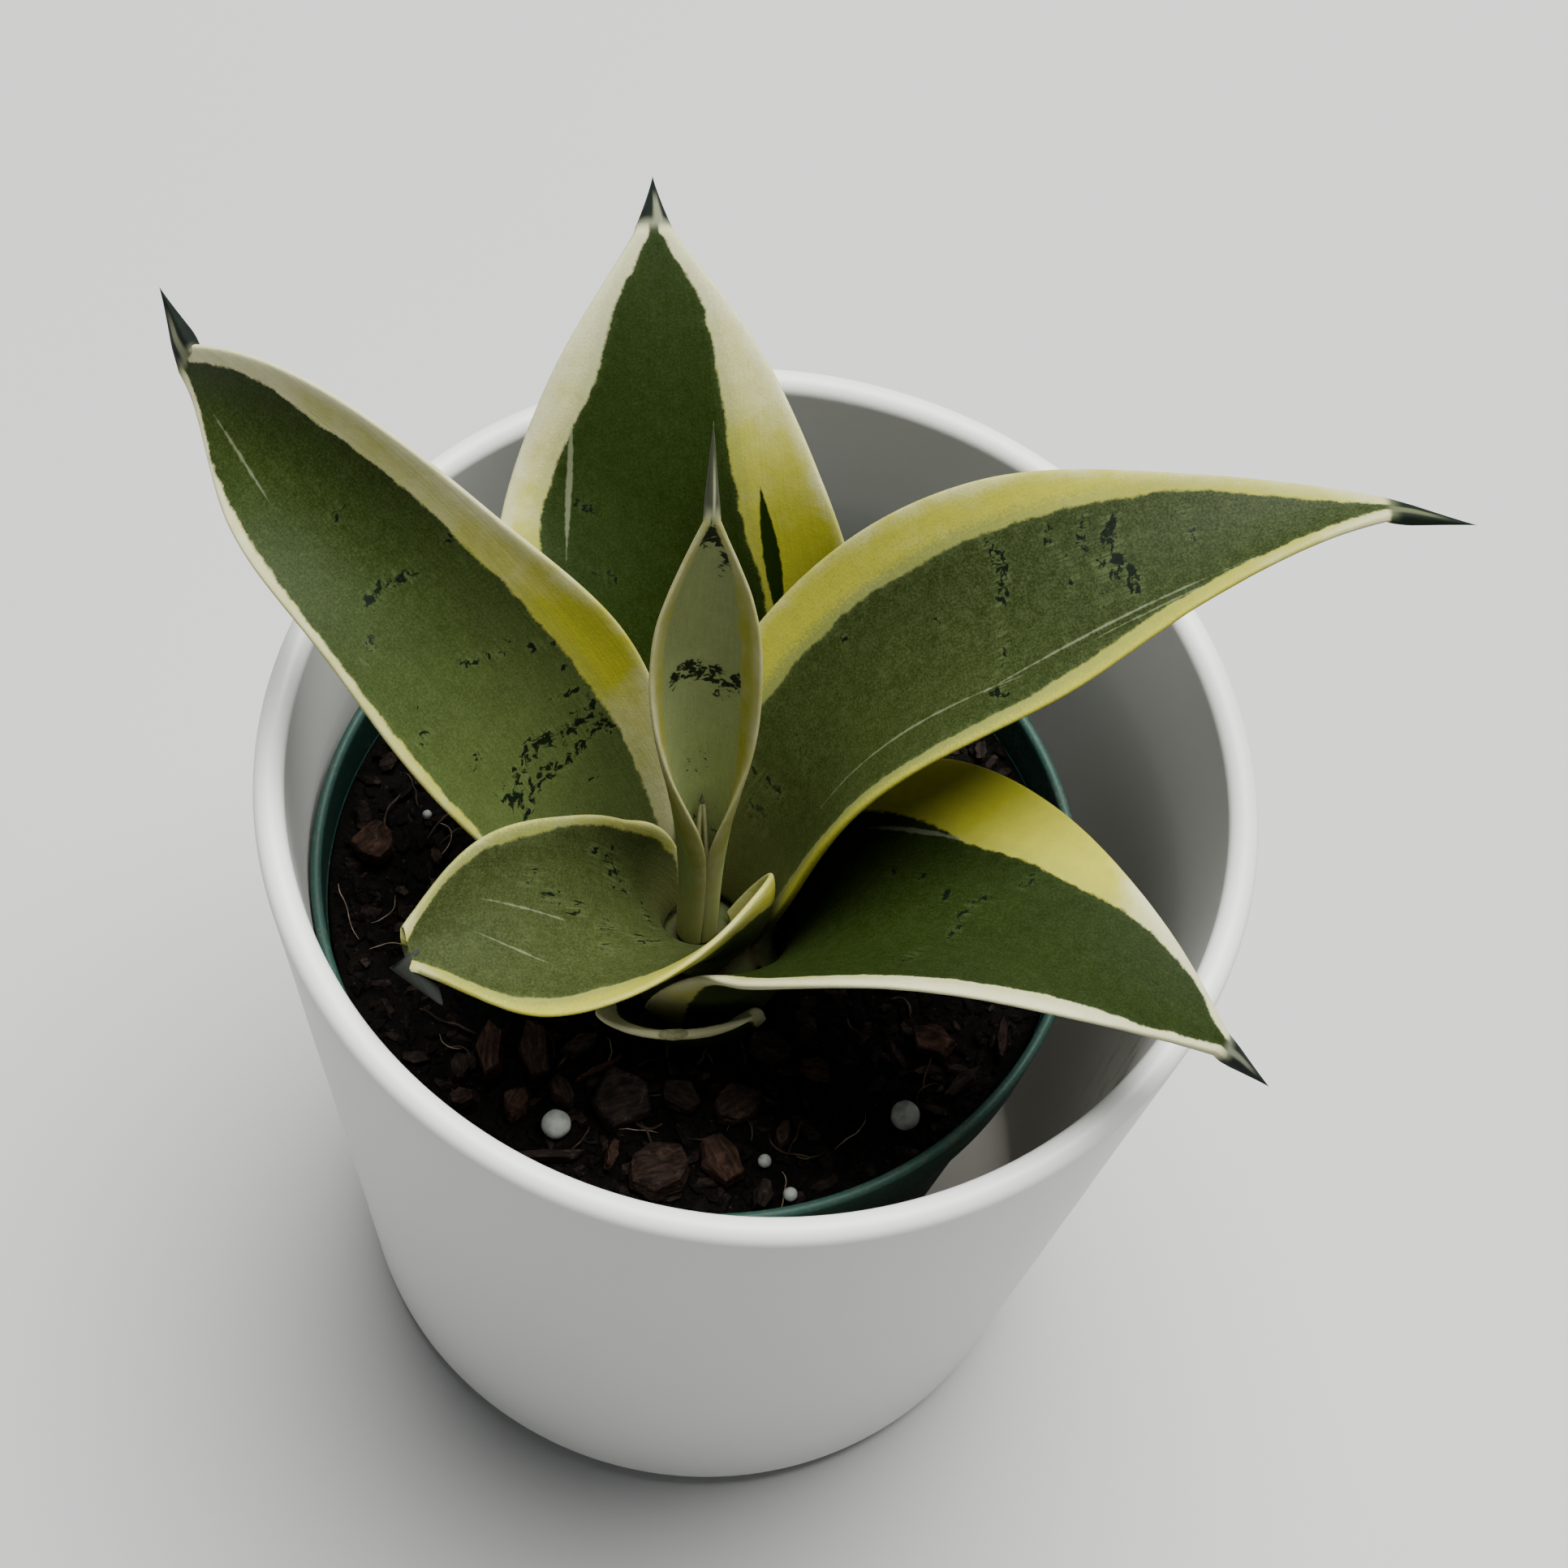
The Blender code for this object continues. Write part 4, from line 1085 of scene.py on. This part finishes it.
def strand_over_soil(rng, x, y, heading, length, bend, lift):
    """Wandering line over the soil, in metres, from a point in mm."""
    points = []
    count = 6
    for k in range(count + 1):
        px, py = x * MM, y * MM
        rise = math.sin(math.pi * k / count) * lift
        height = SOIL_Z + max(soil_lift(px, py), 0.0) + (0.35 + rise) * MM
        points.append(NURSERY_CENTRE + Vector((px, py, height)))
        x += length / count * math.cos(heading)
        y += length / count * math.sin(heading)
        heading += bend / count + rng.uniform(-0.35, 0.35)
    return points


def make_roots():
    rng = random.Random(5)
    dark = []
    for _ in range(FIBRES):
        r = 44.0 * math.sqrt(rng.random())
        a = rng.uniform(0, math.tau)
        heading = rng.uniform(0, math.tau)
        length = rng.uniform(3.0, 9.0)
        points = strand_over_soil(rng, r * math.cos(a), r * math.sin(a), heading, length,
                                  rng.uniform(-1.5, 1.5), 0.5)
        dark.append((points, rng.uniform(0.10, 0.22)))
    make_hairs("soil_fibres", dark, fibre_finish("peat_fibre", (0.010, 0.0065, 0.0045),
                                                 (0.036, 0.023, 0.015)))
    pale = [
        (-47.5, -9.0, -1.2, 9.0, 0.8, 0.8, 0.07), (-37.0, 3.0, -0.4, 8.0, -2.2, 0.9, 0.06),
        (-42.0, -14.0, 0.4, 6.0, 1.2, 0.5, 0.06), (-8.0, -24.6, -0.9, 5.0, -1.6, 0.5, 0.08),
        (18.0, -45.0, 1.2, 6.0, 1.0, 0.5, 0.06), (-34.0, -18.0, 2.4, 8.0, 1.0, 0.6, 0.06),
        (24.0, -35.0, 0.9, 7.0, 1.2, 0.6, 0.06), (-30.0, -28.0, -1.0, 5.0, 0.9, 0.5, 0.06),
        (-5.0, -37.6, 0.2, 6.0, 0.9, 0.6, 0.06), (36.0, 16.0, 1.0, 6.0, 1.0, 0.6, 0.06),
        (5.0, 33.0, 2.0, 8.0, 1.4, 0.6, 0.06), (-28.0, 26.0, 0.4, 8.0, -1.4, 0.6, 0.06),
    ]
    lines = []
    for x, y, heading, length, bend, lift, radius in pale:
        lines.append((strand_over_soil(rng, x, y, heading, length, bend, lift), radius))
    make_hairs("root_hairs", lines, fibre_finish("dry_root_hair", (0.09, 0.065, 0.040),
                                                 (0.21, 0.17, 0.115)))


def make_crown():
    """Short rootstock, ringed with the scars of old leaves."""
    foot = SOIL_Z - CROWN_DEPTH
    profile = []
    for k in range(CROWN_RINGS + 1):
        r = CROWN_RADIUS * 0.92 * k / CROWN_RINGS
        scar = 0.16 * MM * (1 - math.cos(r / MM * 3.1)) * min(1.0, k / 6)
        profile.append((r, SOIL_Z + CROWN_PEAK - CROWN_SLOPE * r - scar))
    profile += [
        (CROWN_RADIUS - 0.1 * MM, SOIL_Z + CROWN_PEAK - CROWN_SLOPE * CROWN_RADIUS - 0.8 * MM),
        (CROWN_RADIUS - 0.1 * MM, foot + 4.0 * MM),
        (CROWN_RADIUS * 0.8, foot + 1.0 * MM),
        (CROWN_RADIUS * 0.6, foot),
        (0.0, foot),
    ]
    bm = spun(profile, CROWN_STEPS)
    for vert in bm.verts:
        if vert.co.z > SOIL_Z - 2.0 * MM:
            vert.co.z -= abs(noise.noise(vert.co * 700.0)) * 0.3 * MM
    bmesh.ops.translate(bm, verts=bm.verts, vec=CROWN_CENTRE)
    piece("crown_rootstock", bm, crown_finish(), ["crown"])


# --- leaves -----------------------------------------------------------------------
def along(values, v):
    """Smooth curve through evenly spaced values, read at v from 0 to 1."""
    last = len(values) - 1
    place = min(max(v, 0.0), 1.0) * last
    i = min(int(place), last - 1)
    t = place - i
    b, c = values[i], values[i + 1]
    a = values[i - 1] if i > 0 else 2 * b - c
    d = values[i + 2] if i + 2 <= last else 2 * c - b
    return b + 0.5 * t * (c - a + t * (2 * a - 5 * b + 4 * c - d + t * (3 * (b - c) + d - a)))


def direction(rise, heading):
    e, h = math.radians(rise), math.radians(heading)
    return Vector((math.cos(e) * math.cos(h), math.cos(e) * math.sin(h), math.sin(e)))


def leaf_frame(leaf, v):
    """Direction of the midrib, direction across the blade, and its inner side."""
    heading = along(leaf["heading"], v)
    ahead = direction(along(leaf["rise"], v), heading)
    h = math.radians(heading)
    across = Vector((-math.sin(h), math.cos(h), 0.0))
    inward = ahead.cross(across)
    turn = Matrix.Rotation(math.radians(along(leaf["roll"], v)), 3, ahead)
    return ahead, turn @ across, turn @ inward


def leaf_midrib(leaf):
    """Points along the midrib, in millimetres, one for each row of the blade."""
    clasp = leaf["clasp"]
    h = math.radians(leaf["heading"][0])
    inner_edge = (clasp - leaf["thick"] * FOOT_THINNING / 2) * MM
    z = (SOIL_Z + CROWN_PEAK - CROWN_SLOPE * inner_edge + GAP) / MM + FOOT_LIFT
    centre = CROWN_CENTRE / MM
    at = Vector((centre.x + clasp * math.cos(h), centre.y + clasp * math.sin(h), z))
    points = [at.copy()]
    before = leaf_frame(leaf, 0.0)[0]
    for k in range(1, BLADE_ROWS + 1):
        after = leaf_frame(leaf, k / BLADE_ROWS)[0]
        at = at + (before + after) * (leaf["length"] / BLADE_ROWS / 2)
        before = after
        points.append(at.copy())
    return points


def leaf_rows(leaf):
    """Each cross-section: centre, across, inward, half width, cup, thickness, v, tip."""
    points = leaf_midrib(leaf)
    rows = []
    for k, centre in enumerate(points):
        v = k / BLADE_ROWS
        across, inward = leaf_frame(leaf, v)[1:]
        half_width = max(along(leaf["half_width"], v), 0.3)
        cup = math.radians(max(along(leaf["cup"], v), 2.0))
        thickness = leaf["thick"] * min(1 - 0.35 * v, FOOT_THINNING + 0.8 * v)
        if k == 0:
            thickness = 0.0
        rows.append((centre, across, inward, half_width, cup, thickness, v, 0.0))
    length, rise, heading = leaf["spike"]
    ahead = direction(rise, heading)
    across = (across - ahead * across.dot(ahead)).normalized()
    inward = ahead.cross(across)
    last_cup, last_thickness, flatness = cup, thickness, leaf["spike_flat"]
    for k in range(1, SPIKE_ROWS + 1):
        s = k / SPIKE_ROWS
        ease = min(1.0, s * 3.0)
        r = half_width * (1 - s) ** leaf["spike_taper"]
        cup = last_cup + (0.3 - last_cup) * ease
        thickness = last_thickness * (1 - ease) + 2 * r * flatness * ease
        spot = points[-1] + ahead * (length * s)
        rows.append((spot, across, inward, r, cup, min(thickness, 2 * r), 1.0, s))
    return rows


def band_amount(marks, x, v, length):
    """How strongly the dark bands show at a point of the blade."""
    amount = 0.0
    for place, start, end, strength, depth in marks["bands"]:
        bow = 0.8 * math.sin(x * 0.55 + place * 40.0)
        off = abs((v - place) * length + x * x * marks["arch"] - bow) / depth
        beyond = max(start - x, x - end, 0.0) / 1.2
        amount = max(amount, strength * max(0.0, 1.0 - off * off * 0.85 - beyond))
    return amount


def make_leaf(name, leaf):
    """Closed blade laid out on a grid, round the section one way and along the other."""
    marks = {**MARKING_DEFAULTS, **MARKINGS[name]}
    rows = leaf_rows(leaf)
    last = len(rows) - 1
    bm = bmesh.new()
    blade = bm.verts.layers.float_vector.new("blade")
    edges = bm.verts.layers.float_vector.new("edges")
    tints = bm.verts.layers.float_vector.new("tints")
    bmesh.ops.create_grid(bm, x_segments=AROUND, y_segments=last, size=1.0)
    for vert in bm.verts:
        a = (vert.co.x + 1.0) / 2.0 * math.tau
        row = round((vert.co.y + 1.0) / 2.0 * last)
        centre, across, inward, half_width, cup, thickness, v, tip = rows[row]
        u = -math.cos(a)
        side = math.sin(a)
        x = u * half_width
        radius = half_width / cup
        turn = cup * u
        point = centre + across * (radius * math.sin(turn))
        point = point + inward * (radius * (1 - math.cos(turn)))
        normal = inward * math.cos(turn) - across * math.sin(turn)
        bulge = math.copysign(abs(side) ** EDGE_FULLNESS, side) * thickness / 2
        run = v * leaf["length"]
        ripple = noise.noise(Vector((x * 0.13, run * 0.06, leaf["clasp"]))) * 0.16
        ripple += noise.noise(Vector((x * 0.9, run * 0.05, leaf["clasp"]))) * 0.05
        vert.co = (point + normal * (bulge + ripple * min(1.0, v * 5.0) * (1.0 - tip))) * MM
        margin = max(along(marks["low"], v) - x, x - along(marks["high"], v))
        gold = along(marks["gold_low"] if x < 0 else marks["gold_high"], v)
        vert[blade] = (x, run, side)
        vert[edges] = (margin, half_width - abs(x), tip)
        vert[tints] = (gold, band_amount(marks, x, v, leaf["length"]), along(marks["haze"], v))
    bmesh.ops.remove_doubles(bm, verts=bm.verts, dist=0.002 * MM)
    bmesh.ops.recalc_face_normals(bm, faces=bm.faces)
    finish = leaf_finish(f"skin_{name}", marks, leaf["length"])
    piece(f"{name}_blade", bm, finish, [name])


# --- stage --------------------------------------------------------------------------
def make_camera():
    lens = bpy.data.cameras.new("camera")
    lens.sensor_width = 36.0
    lens.lens = 72.112
    lens.clip_start = 0.01
    lens.clip_end = 10.0
    eye = bpy.data.objects.new("camera", lens)
    tilt = Matrix.Rotation(math.radians(29.89147), 4, "X")
    roll = Matrix.Rotation(math.radians(9.75848), 4, "Z")
    eye.matrix_world = Matrix.Translation((0.00302, -0.202778, 0.482763)) @ tilt @ roll
    bpy.context.scene.collection.objects.link(eye)
    bpy.context.scene.camera = eye


def area_light(name, spot, target, size, power, colour):
    lamp = bpy.data.lights.new(name, "AREA")
    lamp.shape = "DISK"
    lamp.size = size
    lamp.energy = power
    lamp.color = colour
    obj = bpy.data.objects.new(name, lamp)
    aim = (Vector(target) - Vector(spot)).to_track_quat("-Z", "Y")
    obj.matrix_world = Matrix.Translation(spot) @ aim.to_matrix().to_4x4()
    bpy.context.scene.collection.objects.link(obj)


def make_stage():
    bm = bmesh.new()
    bmesh.ops.create_grid(bm, x_segments=1, y_segments=1, size=4.0)
    bmesh.ops.translate(bm, verts=bm.verts, vec=(0.0, 0.0, -0.00005))
    mesh = bpy.data.meshes.new("floor")
    bm.to_mesh(mesh)
    bm.free()
    mesh.materials.append(table_finish())
    floor = bpy.data.objects.new("floor", mesh)
    bpy.context.scene.collection.objects.link(floor)
    world = bpy.data.worlds.new("soft_room")
    world.use_nodes = True
    sky = world.node_tree.nodes["Background"]
    sky.inputs["Color"].default_value = (0.95, 0.98, 1.0, 1.0)
    sky.inputs["Strength"].default_value = 0.2
    bpy.context.scene.world = world
    area_light("window_sky", (0.16, 0.45, 1.70), (0, 0, 0.1), 1.5, 104.0, (1.0, 1.0, 0.98))


make_cachepot()
make_nursery_pot()
make_soil()
make_crumbs()
make_chips()
make_fines()
make_beads()
make_roots()
make_crown()
for leaf_name, leaf_shape in LEAVES.items():
    make_leaf(leaf_name, leaf_shape)
make_camera()
make_stage()
